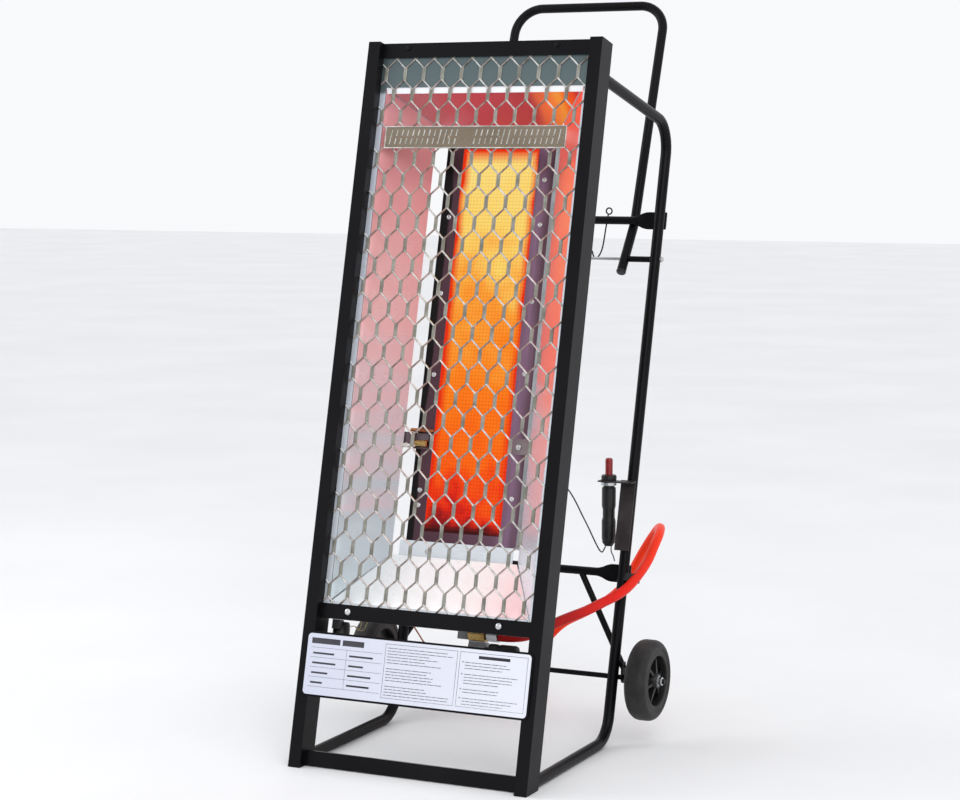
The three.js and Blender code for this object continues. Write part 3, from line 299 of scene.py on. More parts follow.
hose_route = np.array([
    (64.2, 189.8, 184.3), (82, 191, 184.5), (102, 195, 187), (122, 203, 194), (142, 217, 206),
    (157, 241, 213), (170, 270, 218), (182, 303, 225), (194, 332, 232), (203, 362, 242),
    (208, 394, 257), (211, 424, 274), (212, 452, 296), (210, 474, 308), (201, 503, 313),
    (187, 529, 307), (170, 547, 290), (153, 554, 266), (141, 551, 243), (126, 540, 210),
    (101, 522, 184), (71, 503, 166), (41, 484, 149), (19, 470, 124), (4, 460, 96),
    (-10, 453, 68), (-30, 450, 43), (-54, 450, 29), (-84, 452, 23),
]) / 1000
coil_turn = np.radians(np.arange(-100, -501, -10.0))
coil_drop = np.clip((-150 - np.degrees(coil_turn)) / 110, 0, 1)
coil_line = np.stack([
    COIL_CENTRE[0] + COIL_RADIUS * np.cos(coil_turn),
    COIL_CENTRE[1] + COIL_RADIUS * np.sin(coil_turn),
    0.0229 - 0.0152 * coil_drop**2 * (3 - 2 * coil_drop)], axis=1)
leave = np.radians(-150)
leave_way = np.array([np.sin(leave), -np.cos(leave), 0.0])
leave_point = np.array([COIL_CENTRE[0] + COIL_RADIUS * np.cos(leave),
                        COIL_CENTRE[1] + COIL_RADIUS * np.sin(leave), 0.0077])
tail_rise = np.array([0, 0.001, 0.0028, 0.0053])[:, None] * [[0, 0, 1]]
tail_line = leave_point + np.array([0, 0.022, 0.044, 0.062])[:, None] * leave_way + tail_rise
hose_line = even_line(smooth_line(np.vstack([hose_route, coil_line, tail_line])), 0.006)
hose_line[:, 1] += FRONT_Y
hose = tube("gas_hose_rubber", hose_line, HOSE_RADIUS, (0.02, 0.03, 1), 20)

hose_rubber, tree, shader, cloud, fleck = grained("hose_rubber", 22, 700, 0.25, 0.00008)
place = node(tree, "ShaderNodeSeparateXYZ",
             {0: node(tree, "ShaderNodeTexCoord").outputs["Object"]})
# Painted shade: the red is darker towards the hose's front and lighter towards its back.
hose_painted_shade = between(tree, place.outputs["Y"], -0.13, 0.12)
hose_painted_shade = math(tree, "ADD", hose_painted_shade, between(tree, cloud, 0, 1, -0.12, 0.12))
tree.links.new(ramp(tree, hose_painted_shade, [(0, (0.4, 0.006, 0.005)), (0.45, (0.78, 0.01, 0.004)),
                                   (1, (0.95, 0.04, 0.008))]), shader.inputs["Base Color"])
tree.links.new(between(tree, fleck, 0, 1, 0.3, 0.46), shader.inputs["Roughness"])
shader.inputs["Specular IOR Level"].default_value = 0.18
finished(hose, hose_rubber, "hose_rubber", "gas_hose", "hose_coil", "gas_hose_tail")

strap_black = coated("strap_webbing", (0.01, 0.01, 0.011), (0.02, 0.02, 0.022), (0.6, 0.8),
                     clouds=60, fine=1600, relief=0.8, depth=0.0002)


def band(name, centre, axis, half_sizes, width, thick, sides=40):
    """A flat strap round an oval: its section is a thin rectangle carried round the oval.

    half_sizes are the oval's two half widths, the first along the direction most nearly up.
    """
    axis = np.asarray(axis, float) / np.linalg.norm(axis)
    up = np.array([0, 0, 1.0]) - axis * axis[2]
    up /= np.linalg.norm(up)
    side = np.cross(axis, up)
    angle = np.linspace(0, 2 * np.pi, sides, endpoint=False)
    out = np.cos(angle)[:, None] * up + np.sin(angle)[:, None] * side
    oval = (np.cos(angle)[:, None] * up * half_sizes[0]
            + np.sin(angle)[:, None] * side * half_sizes[1])
    section = [(0, -0.5), (0, 0.5), (1, 0.5), (1, -0.5)]
    rings = np.stack([centre + oval + out * thick * a + axis * width * b for a, b in section], 1)
    faces = grid_faces(sides + 1, 4) % (sides * 4)
    return add_mesh(name, rings, [faces])


tie_place = (COIL_CENTRE[0], COIL_CENTRE[1] + COIL_RADIUS + FRONT_Y, 0.0093)
coil_tie = band("coil_tie", tie_place, (1, 0, 0), (0.0092, 0.0083), 0.014, 0.0008)
finished(coil_tie, strap_black, "black_plastic")

# ---- Front frame ------------------------------------------------------------------------
# Two uprights of 20 by 40 mm steel tube lean back, with rails of folded angle between them,
# all powder coated satin black. Screws hold the guard to the top and middle rails.
LEAN = np.radians(13.9)

powder_coat = coated("black_powder_coat", (0.0025, 0.002, 0.003), (0.005, 0.0045, 0.006),
                     (0.3, 0.42), specular=0.12, clouds=6, fine=1500, relief=0.25,
                     depth=0.00004)
zinc_plate = coated("zinc_plate", (0.5, 0.51, 0.52), (0.68, 0.69, 0.7), (0.2, 0.36), 0.95,
                    clouds=40, fine=1200, relief=0.2)
cover(powder_coat, "front_upright_left", "front_upright_right", "top_rail", "middle_rail",
      "bottom_rail", "label_plate")


def on_frame(x, depth, height):
    """Points given across, behind the uprights' front faces, and up along the lean."""
    x, depth, height = np.broadcast_arrays(*(np.asarray(v, float) for v in (x, depth, height)))
    return np.stack([x, FRONT_Y + depth * np.cos(LEAN) + height * np.sin(LEAN),
                     height * np.cos(LEAN) - depth * np.sin(LEAN)], axis=-1)


FRAME_OUT = np.array([0, -np.cos(LEAN), np.sin(LEAN)])  # square to the frame, to its front
FRAME_UP = np.array([0, np.sin(LEAN), np.cos(LEAN)])


def turned(name, profile, centre, axis, sides=28, crease=38):
    """A solid of revolution: each (radius, distance along the axis) carried round the axis."""
    axis = np.asarray(axis, float) / np.linalg.norm(axis)
    first = np.cross(axis, (0.31, 0.52, 0.79))
    first /= np.linalg.norm(first)
    second = np.cross(axis, first)
    angle = np.linspace(0, 2 * np.pi, sides, endpoint=False)
    round_way = np.cos(angle)[:, None] * first + np.sin(angle)[:, None] * second
    radius, height = np.asarray(profile, float).T
    points = (np.asarray(centre) + height[:, None, None] * axis
              + radius[:, None, None] * round_way[None])
    return add_mesh(name, points, [grid_faces(len(radius), sides)], crease)


def dome(radius, height, back=0.0):
    """The profile of a domed screw head: a quarter of an ellipse over a short rim."""
    turn = np.linspace(0, np.pi / 2, 7)
    curve = np.stack([radius * np.cos(turn), height * (0.25 + 0.75 * np.sin(turn))], axis=1)
    return np.vstack([[0, back], [radius, back], curve[:-1], [0, height]])


def joined(name, pieces):
    """One mesh from several."""
    shell = bmesh.new()
    for piece in pieces:
        shell.from_mesh(piece.data)
        bpy.data.objects.remove(piece)
    mesh = bpy.data.meshes.new(name)
    shell.to_mesh(mesh)
    shell.free()
    whole = bpy.data.objects.new(name, mesh)
    scene.collection.objects.link(whole)
    return whole


screws = [turned("screw", dome(0.0042, 0.0022), on_frame(x, 0.0121, 1.1045), FRAME_OUT, 20)
          for x in (-0.1315, 0.1172)]
finished(joined("top_rail_screws", screws), powder_coat, "powder_coat")
bolts = [turned("bolt", dome(0.0052, 0.0036), on_frame(x, 0.0121, 0.237), FRAME_OUT, 24)
         for x in (-0.1292, 0.1196)]
finished(joined("middle_rail_bolts", bolts), zinc_plate, "zinc_plate")

# ---- Side loops and crossbars -----------------------------------------------------------
# Each side is one bent tube: an arm back from the top of the upright, a leaning rear tube, and
# a skid along the floor. Two crossbars with flattened ends are bolted behind the rear tubes.
REAR_LEAN = np.radians(14.6)
REAR_FOOT = 0.319
UPPER_BAR_Z = 0.804
LOWER_BAR_Z = 0.258
LOOP_X = 0.185
LOOP_RADIUS = 0.0085
BAR_RADIUS = 0.0065
BAR_BEHIND = LOOP_RADIUS + 0.0023


def rear_tube_y(z):
    """Where the rear tubes' middle line is at a height."""
    return FRONT_Y + REAR_FOOT + np.asarray(z) * np.tan(REAR_LEAN)


def bent_line(corners, bends, step=0.004):
    """Straight lines joined by arcs: each arc meets both of its lines squarely."""
    corners = np.asarray(corners, float)
    parts = [corners[:1]]
    for before, corner, after, bend in zip(corners, corners[1:], corners[2:], bends):
        inward = (before - corner) / np.linalg.norm(before - corner)
        outward = (after - corner) / np.linalg.norm(after - corner)
        half = np.arccos(np.clip(inward @ outward, -1, 1)) / 2
        middle = inward + outward
        centre = corner + middle / np.linalg.norm(middle) * bend / np.sin(half)
        spoke = corner + inward * bend / np.tan(half) - centre
        turn = np.linspace(0, np.pi - 2 * half, max(6, int(bend * (np.pi - 2 * half) / step)))
        parts.append(centre + np.cos(turn)[:, None] * spoke
                     - np.sin(turn)[:, None] * inward * bend)
    return np.vstack(parts + [corners[-1:]])


for side, name in ((-1, "side_loop_left"), (1, "side_loop_right")):
    start = on_frame(side * LOOP_X, 0.0397, 1.06)
    fall = np.tan(LEAN)
    reach = FRONT_Y + REAR_FOOT
    top_y = (reach + (start[2] + start[1] * fall) * np.tan(REAR_LEAN))
    top_y /= 1 + fall * np.tan(REAR_LEAN)
    corners = [start, (side * LOOP_X, top_y, start[2] - (top_y - start[1]) * fall),
               (side * LOOP_X, rear_tube_y(LOOP_RADIUS), LOOP_RADIUS),
               (side * LOOP_X, FRONT_Y + 0.0385, LOOP_RADIUS)]
    loop = tube(name + "_tube", bent_line(corners, (0.048, 0.048)), LOOP_RADIUS,
                (1, 0, 0), 24)
    finished(loop, powder_coat, "powder_coat", name)


def crossbar(name, z, stands_for):
    """A tube pressed flat at its ends: its section runs from a circle to a tall thin oblong.

    The oblong keeps the circle's run of angles, each point pushed out to a rounded box.
    """
    place = np.array([0, rear_tube_y(z) + BAR_BEHIND * np.cos(REAR_LEAN),
                      z - BAR_BEHIND * np.sin(REAR_LEAN)])
    sides = 32
    back = np.array([0, np.cos(REAR_LEAN), -np.sin(REAR_LEAN)])
    up = np.array([0, np.sin(REAR_LEAN), np.cos(REAR_LEAN)])
    half = np.array([0, 0.134, 0.139, 0.146, 0.153, 0.159, 0.163, 0.1925, 0.1931])
    flat = np.array([0, 0, 0.04, 0.3, 0.75, 0.96, 1, 1, 1])
    inset = np.array([1, 1, 1, 1, 1, 1, 1, 1, 0.9])
    across = np.r_[-half[::-1], half[1:]]
    press = np.r_[flat[::-1], flat[1:]][:, None]
    size = np.r_[inset[::-1], inset[1:]][:, None]
    angle = np.linspace(0, 2 * np.pi, sides, endpoint=False)
    c, s = np.cos(angle), np.sin(angle)
    thick = (BAR_RADIUS * (1 - press) * c + 0.002 * press * np.sign(c) * np.abs(c)**0.3) * size
    tall = (BAR_RADIUS * (1 - press) * s + 0.014 * press * np.sign(s) * np.abs(s)**0.45) * size
    points = (place + across[:, None, None] * [1, 0, 0] + thick[..., None] * back
              + tall[..., None] * up)
    last = (len(across) - 1) * sides
    bar = add_mesh(name, points, [grid_faces(len(across), sides), [np.arange(sides)[::-1]],
                                  [last + np.arange(sides)]], 50)
    finished(bar, powder_coat, "powder_coat", stands_for)
    heads = []
    for side in (-1, 1):
        spot = place + [side * LOOP_X, 0, 0] + back * 0.0019
        heads.append(turned("bolt", [(0, 0), (0.0058, 0), (0.0058, 0.0034), (0.0046, 0.0046),
                                     (0, 0.0046)], spot, back, 6))
    finished(joined(name + "_bolts", heads), zinc_plate, "zinc_plate")
    return place


upper_bar = crossbar("upper_crossbar_tube", UPPER_BAR_Z, "upper_crossbar")
lower_bar = crossbar("lower_crossbar_tube", LOWER_BAR_Z, "lower_crossbar")

# The strap that holds the hose to the right rear tube.
strap_z = 0.251
hose_strap = band("hose_strap", (0.1935, rear_tube_y(strap_z) + 0.0035, strap_z),
                  (0.05, 0.42, 1), (0.0098, 0.0185), 0.012, 0.0009)
finished(hose_strap, strap_black, "black_plastic")

# ---- Handle -----------------------------------------------------------------------------
# A U of 15 mm tube behind the upper crossbar. Its legs bend in to a long rod through the rear
# tubes, with spacers between, and end in plastic caps. A wire hook hangs on the crossbar.
HANDLE_RADIUS = 0.0075
HANDLE_X = 0.133
HANDLE_LEAN = np.radians(20.6)
HANDLE_TOP = 1.15
HOOK_WIRE = 0.0012
ROD_Z = 0.741
rod_y = rear_tube_y(ROD_Z)
behind = BAR_BEHIND + BAR_RADIUS + 0.0003 + HANDLE_RADIUS + 0.0012
elbow = np.array([HANDLE_X, rear_tube_y(UPPER_BAR_Z) + behind * np.cos(REAR_LEAN),
                  UPPER_BAR_Z - behind * np.sin(REAR_LEAN)])
shin = elbow - [HANDLE_X, rod_y, ROD_Z]
foot = np.array([HANDLE_X, rod_y, ROD_Z]) - shin / np.linalg.norm(shin) * 0.023
crown = np.array([HANDLE_X, elbow[1] + (HANDLE_TOP - elbow[2]) * np.tan(HANDLE_LEAN),
                  HANDLE_TOP])
leg = np.array([foot, elbow, crown])
mirror = np.array([-1, 1, 1])
handle_line = bent_line(np.vstack([leg, (leg * mirror)[::-1]]), (0.06, 0.045, 0.045, 0.06))
handle = tube("handle_tube", handle_line, HANDLE_RADIUS,
              (0, np.cos(HANDLE_LEAN), -np.sin(HANDLE_LEAN)), 24)
finished(handle, powder_coat, "powder_coat", "handle")

plastic = coated("black_plastic", (0.006, 0.006, 0.007), (0.014, 0.014, 0.015), (0.35, 0.5),
                 specular=0.4, clouds=50, fine=1800, relief=0.5)
caps = []
for side in (-1, 1):
    way = (foot - elbow) * (side, 1, 1) / np.linalg.norm(shin)
    end = foot * (side, 1, 1)
    caps.append(turned("cap", [(0, 0.0001), (0.0078, 0.0001), (0.0079, 0.0022),
                               (0.0064, 0.0042), (0, 0.0048)], end, way))
finished(joined("handle_end_caps", caps), plastic, "black_plastic")

rod = turned("handle_rod_steel", [(0, -0.198), (0.004, -0.198), (0.0045, -0.1968),
                                  (0.0045, -0.194), (0.0025, -0.1938), (0.0025, 0.1938),
                                  (0.0045, 0.194), (0.0045, 0.1968), (0.004, 0.198),
                                  (0, 0.198)], (0, rod_y, ROD_Z), (1, 0, 0), 20)
finished(rod, zinc_plate, "zinc_plate", "handle_rod")
for side, name in ((-1, "rod_spacer_left"), (1, "rod_spacer_right")):
    near, far = HANDLE_X + HANDLE_RADIUS + 0.0003, LOOP_X - LOOP_RADIUS - 0.0003
    spacer = turned(name + "_tube", [(0.0028, near), (0.0047, near), (0.0047, far),
                                     (0.0028, far), (0.0028, near)],
                    (0, rod_y, ROD_Z), (side, 0, 0), 24)
    finished(spacer, powder_coat, "powder_coat", name)

hook_y = upper_bar[1] + BAR_RADIUS + HOOK_WIRE + 0.0006
hook_top = upper_bar[2]
eye_turn = np.linspace(np.radians(-110), np.radians(235), 26)
eye = np.stack([0.0915 + 0.005 * np.cos(eye_turn), np.full(26, hook_y),
                hook_top + 0.0145 + 0.005 * np.sin(eye_turn)], axis=1)
crook = [(0.062, hook_y, hook_top - 0.050), (0.0655, hook_y, hook_top - 0.060),
         (0.072, hook_y, hook_top - 0.060), (0.080, hook_y, hook_top - 0.045),
         (0.086, hook_y, hook_top - 0.012), (0.0895, hook_y, hook_top + 0.006)]
hook = tube("hose_hook_wire", even_line(np.vstack([smooth_line(np.array(crook)), eye]), 0.0015),
            HOOK_WIRE, (0, 1, 0), 12)
finished(hook, powder_coat, "powder_coat", "hose_hook")

# ---- Wheels -----------------------------------------------------------------------------
# Solid rubber tyres on ribbed plastic hubs, on one axle behind the rear tubes. Two stays run
# from the lower crossbar to flat tabs at the axle. They touch the floor only when tipped.
AXLE = np.array([0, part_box("axle")[0][1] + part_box("axle")[1][1], 0.2]) / 2
WHEEL_X = (0.220, 0.255)

tyre_rubber = coated("tyre_rubber", (0.012, 0.011, 0.011), (0.026, 0.024, 0.023), (0.5, 0.68),
                     specular=0.35, clouds=40, fine=1300, relief=0.6, depth=0.0001)


def tyre_section(count=9):
    """The tyre's outline: a crowned tread, round shoulders, and a lip at the rim."""
    half, middle = (WHEEL_X[1] - WHEEL_X[0]) / 2, sum(WHEEL_X) / 2
    turn = np.linspace(0, np.pi / 2, count)
    shoulder = np.stack([0.0505 + 0.012 * np.sin(turn)**0.8, half - 0.012 * (1 - np.cos(turn))
                         ], axis=1)
    outer = np.vstack([[0.042, half - 0.0046], [0.0386, half - 0.0042], [0.039, half - 0.0012],
                       [0.041, half - 0.0002], [0.0482, half - 0.0014], shoulder])
    inner = outer[::-1] * (1, -1)
    return np.vstack([outer, inner, outer[:1]]) + (0, middle)


for side, name in ((-1, "left"), (1, "right")):
    tyre = turned("tyre_" + name + "_rubber", tyre_section(), AXLE, (side, 0, 0), 64, 40)
    finished(tyre, tyre_rubber, "tyre_rubber", "tyre_" + name, body="wheel_" + name)
    inner, outer = WHEEL_X
    hub = turned("hub_core", [
        (0.0044, inner + 0.001), (0.012, inner + 0.001), (0.012, inner + 0.013),
        (0.0377, inner + 0.013), (0.0385, inner + 0.005), (0.0417, inner + 0.005),
        (0.0417, outer - 0.005), (0.0385, outer - 0.005), (0.0372, inner + 0.019),
        (0.0125, inner + 0.019), (0.0118, outer - 0.001), (0.0105, outer + 0.001),
        (0.0044, outer + 0.001), (0.0044, inner + 0.001)], AXLE, (side, 0, 0), 48)
    spokes = []
    for k in range(6):
        turn = np.radians(60 * k + 12)
        out = np.array([0, np.cos(turn), np.sin(turn)])
        wide = np.cross((1, 0, 0), out)
        ends = ((0.0112, outer - 0.003, 0.0024), (0.0392, outer - 0.0085, 0.002))
        corners = np.array([AXLE + out * r + wide * w + np.array([side * x, 0, 0])
                            for r, x_top, half in ends
                            for x in (inner + 0.0185, x_top) for w in (-half, half)])
        spokes.append(add_mesh("spoke", corners, [[[0, 1, 3, 2], [4, 6, 7, 5], [0, 2, 6, 4],
                                                   [1, 5, 7, 3], [0, 4, 5, 1], [2, 3, 7, 6]]]))
    hub = joined("hub_" + name + "_plastic", [hub] + spokes)
    finished(hub, plastic, "black_plastic", "hub_" + name, body="wheel_" + name)

nut_in = WHEEL_X[1] + 0.0016
axle_rod = turned("axle_rod", [(0, -0.266), (0.0034, -0.266), (0.004, -0.2652), (0.004, 0.2652),
                               (0.0034, 0.266), (0, 0.266)], AXLE, (1, 0, 0), 24)
finished(axle_rod, powder_coat, "powder_coat", "axle")
axle_parts = []
for side in (-1, 1):
    axle_parts.append(turned("nut", [(0.0039, nut_in), (0.007, nut_in), (0.007, nut_in + 0.005),
                                     (0.0058, nut_in + 0.006), (0.0039, nut_in + 0.006)],
                             AXLE, (side, 0, 0), 6))
    axle_parts.append(turned("washer", [(0.0041, nut_in - 0.0012), (0.008, nut_in - 0.0012),
                                        (0.008, nut_in - 0.0002), (0.0041, nut_in - 0.0002),
                                        (0.0041, nut_in - 0.0012)], AXLE, (side, 0, 0), 28))
finished(joined("axle_nuts", axle_parts), zinc_plate, "zinc_plate")

for side, name in ((-1, "wheel_stay_left"), (1, "wheel_stay_right")):
    top = np.array([side * 0.1105, lower_bar[1], lower_bar[2] - 0.0035])
    low = np.array([side * 0.1972, AXLE[1] + 0.002, 0.114])
    stay_line = top + np.linspace(0, 1, 9)[:, None] * (low - top)
    stay = tube("stay", stay_line, 0.005, (0, 1, 0), 20, 0.3)
    turn = np.linspace(0, np.pi, 13)
    rim = np.vstack([np.stack([0.0082 * np.cos(turn + np.pi), 0.0088 * np.sin(turn + np.pi)], 1),
                     [(0.006, 0.024), (-0.006, 0.024)]])
    plate = np.array([[side * x, AXLE[1] + y, AXLE[2] + z] for x in (0.1960, 0.1990)
                      for y, z in rim])
    count = len(rim)
    tab = add_mesh("tab", plate, [grid_faces(2, count), [np.arange(count)[::-1]],
                                  [count + np.arange(count)]])
    finished(joined(name + "_bar", [stay, tab]), powder_coat, "powder_coat", name)

# ---- Front panel and reflector ----------------------------------------------------------
# Bright sheet behind the guard: a flat panel with a lip over its mouth, and four polished
# sheets that funnel back to the burner. The burner's light on their fronts is painted:
# pink, coral and orange tints and a faint painted glow.
MOUTH_TOP = 1.043
THROAT_DEPTH = 0.088


def screen_colour(red, green, blue):
    """A colour given in 0 to 255 display values, as linear light."""
    value = np.array([red, green, blue]) / 255
    return tuple(np.where(value > 0.04045, ((value + 0.055) / 1.055)**2.4, value / 12.92))


def sheet_metal(name, stops, axis="Z", reach=(0.3, 1.0), metallic=0.5, rough=(0.22, 0.4),
                streak=(3.0, 3.0, 26.0), spread=0.12, glow=0.0):
    """Rolled sheet: its tint runs along an axis, broken up by long soft rolling streaks.

    stops are (place, red, green, blue) rows of display values. glow is a painted emission of
    the tint, for light the sheet throws back. Faces whose "behind" attribute is 1 are plain
    grey zinc and don't glow.
    """
    material, tree, shader = new_material(name)
    place = node(tree, "ShaderNodeTexCoord").outputs["Object"]
    split = node(tree, "ShaderNodeSeparateXYZ", {0: place})
    stretch = node(tree, "ShaderNodeMapping", {"Vector": place, "Scale": streak})
    noise = node(tree, "ShaderNodeTexNoise", {
        "Vector": stretch.outputs["Vector"], "Scale": 1.0, "Detail": 5.0}).outputs["Fac"]
    along = between(tree, split.outputs[axis], *reach)
    tinted = math(tree, "ADD", along, between(tree, noise, 0.3, 0.7, -spread, spread), True)
    behind = node(tree, "ShaderNodeAttribute", attribute_name="behind").outputs["Fac"]
    zinc_grey = ramp(tree, noise, [(0.3, screen_colour(150, 155, 158)),
                                   (0.7, screen_colour(182, 186, 188))])
    tint = ramp(tree, tinted, [(mark, screen_colour(*values)) for mark, *values in stops])
    faced = node(tree, "ShaderNodeMix", {0: behind, 6: tint, 7: zinc_grey},
                 data_type="RGBA").outputs[2]
    tree.links.new(faced, shader.inputs["Base Color"])
    # Painted glow: the sheet's tint is also emitted, standing in for reflected burner light.
    if glow:
        tree.links.new(faced, shader.inputs["Emission Color"])
        tree.links.new(between(tree, behind, 0, 1, glow, 0), shader.inputs["Emission Strength"])
    tree.links.new(between(tree, noise, 0.3, 0.7, *rough), shader.inputs["Roughness"])
    bump = node(tree, "ShaderNodeBump", {"Height": noise, "Strength": 0.07, "Distance": 0.0006})
    tree.links.new(bump.outputs["Normal"], shader.inputs["Normal"])
    shader.inputs["Metallic"].default_value = metallic
    return material


# Painted reflection: each reflector's pink, coral and orange stops and its glow stand in for the
# burner's light thrown back by the sheet.
cover(sheet_metal("reflector_left_sheet", [
    (0.0, 196, 208, 214), (0.16, 190, 198, 204),
    (0.3, 212, 188, 194), (0.5, 226, 178, 180),
    (0.8, 220, 156, 158), (1.0, 206, 142, 148)],
    reach=(0.26, 1.0), glow=0.15, streak=(4.0, 4.0, 18.0)), "reflector_left")
cover(sheet_metal("reflector_right_sheet", [
    (0.0, 205, 205, 212), (0.25, 214, 190, 196),
    (0.5, 232, 130, 122), (1.0, 244, 108, 92)],
    reach=(0.28, 0.98), glow=0.26), "reflector_right")
cover(sheet_metal("reflector_top_sheet", [
    (0.0, 190, 140, 144), (0.28, 200, 100, 108),
    (0.45, 200, 78, 88), (0.72, 186, 66, 80),
    (0.8, 250, 130, 76), (0.85, 255, 176, 76),
    (0.9, 255, 110, 40), (0.95, 222, 62, 60)],
    axis="X", reach=(-0.165, 0.165), streak=(22, 6, 6), spread=0.035, glow=0.18),
    "reflector_top")
cover(sheet_metal("reflector_bottom_sheet", [
    (0.0, 212, 220, 222), (0.35, 246, 247, 248),
    (0.6, 250, 248, 248), (0.85, 252, 226, 226),
    (1.0, 246, 200, 204)],
    axis="X", reach=(-0.165, 0.165), streak=(14, 5, 5), spread=0.06, metallic=0.25, glow=0.18),
    "reflector_bottom")
cover(sheet_metal("front_panel_sheet", [
    (0.0, 226, 232, 240), (0.905, 214, 220, 232),
    (0.911, 92, 106, 108), (1.0, 74, 88, 92)],
    reach=(0.22, 1.08), metallic=0.35, spread=0.012, streak=(14, 14, 14)), "front_panel")
for name in ("front_panel", "burner_bezel", "reflector_left", "reflector_right",
             "reflector_top", "reflector_bottom"):
    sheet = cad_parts[name]
    turn = np.array(sheet.matrix_world.to_3x3())
    backs = [float(np.dot(turn @ face.normal, FRAME_OUT) < 0.3) for face in sheet.data.polygons]
    mark = sheet.data.attributes.new("behind", "FLOAT", "FACE")
    mark.data.foreach_set("value", backs)
# The ledge and the mouth lip carry a faint painted glow of the burner's light.
white_sheet = sheet_metal("plain_sheet", [
    (0.0, 222, 228, 234), (1.0, 238, 240, 244)],
    metallic=0.35, glow=0.05)
cover(white_sheet, "burner_ledge")

PRISM_FACES = np.vstack([grid_faces(2, 4), [[3, 2, 1, 0], [4, 5, 6, 7]]])

# A bar fills the seam where two of the funnel's sheets meet, from the mouth to the throat.
seams = []
for x_side in (-1, 1):
    for mouth_h, throat_h, up_way in ((0.25, 0.331, -1), (MOUTH_TOP, 1.0, 1)):
        near = np.array([[-1, -1], [1, -1], [1, 1], [-1, 1]]) * 0.003
        ends = [on_frame(x_side * (x + 0.0032) + near[:, 0], depth, h + up_way * 0.0032
                         + near[:, 1])
                for x, depth, h in ((0.165, 0.0186, mouth_h), (0.107, 0.0876, throat_h))]
        seams.append(add_mesh("seam", np.array(ends), [PRISM_FACES]))
# The seams take the same painted reflection as the reflectors: pinker towards the top.
seam_sheet = sheet_metal("seam_sheet", [
    (0.0, 200, 204, 210), (0.4, 196, 178, 182),
    (1.0, 176, 136, 142)], reach=(0.26, 1.0))
finished(joined("reflector_seams", seams), seam_sheet, "reflector_sheet")

lip_section = np.array([(0.0172, MOUTH_TOP + 0.001), (0.0184, MOUTH_TOP + 0.001),
                        (0.0196, MOUTH_TOP - 0.009), (0.0184, MOUTH_TOP - 0.009)])
lip_points = on_frame(np.array([-0.1645, 0.1645])[:, None], lip_section[None, :, 0],
                      lip_section[None, :, 1])
lip = add_mesh("mouth_lip", lip_points, [PRISM_FACES])
finished(lip, white_sheet, "reflector_sheet")

# ---- Guard ------------------------------------------------------------------------------
# Expanded metal, zinc plated: upright bonds in rows, each row half a cell along, joined by
# slanting strands whose edges are turned out. A strip with raised bars is fixed across it.
CELL = 0.03215
ROW = 0.0332
BOND_TALL = 0.018
GUARD_DEPTH = 0.0156
EDGE_X = 0.1738


def bars(name, starts, ends, section):
    """Straight prisms: a (side, outward) outline in metres carried from each start to its end.

    side is square to the bar in the frame's plane, and outward is square to that plane.
    """
    along = ends - starts
    along /= np.linalg.norm(along, axis=1, keepdims=True)
    side = np.cross(along, FRAME_OUT)
    outline = np.asarray(section)
    lift = (outline[None, :, :1] * side[:, None] + outline[None, :, 1:] * FRAME_OUT)
    points = np.stack([starts[:, None] + lift, ends[:, None] + lift], axis=1)
    count, corners = len(starts), len(outline)
    base = (np.arange(count) * 2 * corners)[:, None, None]
    walls = (grid_faces(2, corners)[None] + base).reshape(-1, 4)
    ends_faces = np.concatenate([np.arange(corners)[::-1][None] + base[:, 0],
                                 np.arange(corners)[None] + corners + base[:, 0]])
    return add_mesh(name, points, [walls, ends_faces], 30)


row, column = np.meshgrid(np.arange(-2, 27), np.arange(-7, 8), indexing="ij")
bond_x = (-0.0063 + column * CELL + (row % 2) * CELL / 2).ravel()
bond_h = (0.267 + row * ROW).ravel()
kept = (np.abs(bond_x) < EDGE_X - 0.002) & (bond_h > 0.236) & (bond_h < 1.1)
low_end = np.maximum(bond_h - 0.0106, 0.229)
high_end = np.minimum(bond_h + 0.0106, 1.108)
bonds = bars("guard_bonds", on_frame(bond_x, GUARD_DEPTH, low_end)[kept],
             on_frame(bond_x, GUARD_DEPTH, high_end)[kept],
             [(-0.0029, -0.0005), (-0.0029, 0.0002), (-0.0022, 0.0007), (0.0022, 0.0004),
              (0.0029, -0.0002), (0.0029, -0.0009)])

strand_section = [(-0.0012, -0.0007), (-0.0013, 0.0007), (-0.0004, 0.0014), (0.0008, 0.0007),
                  (0.0012, -0.0004)]
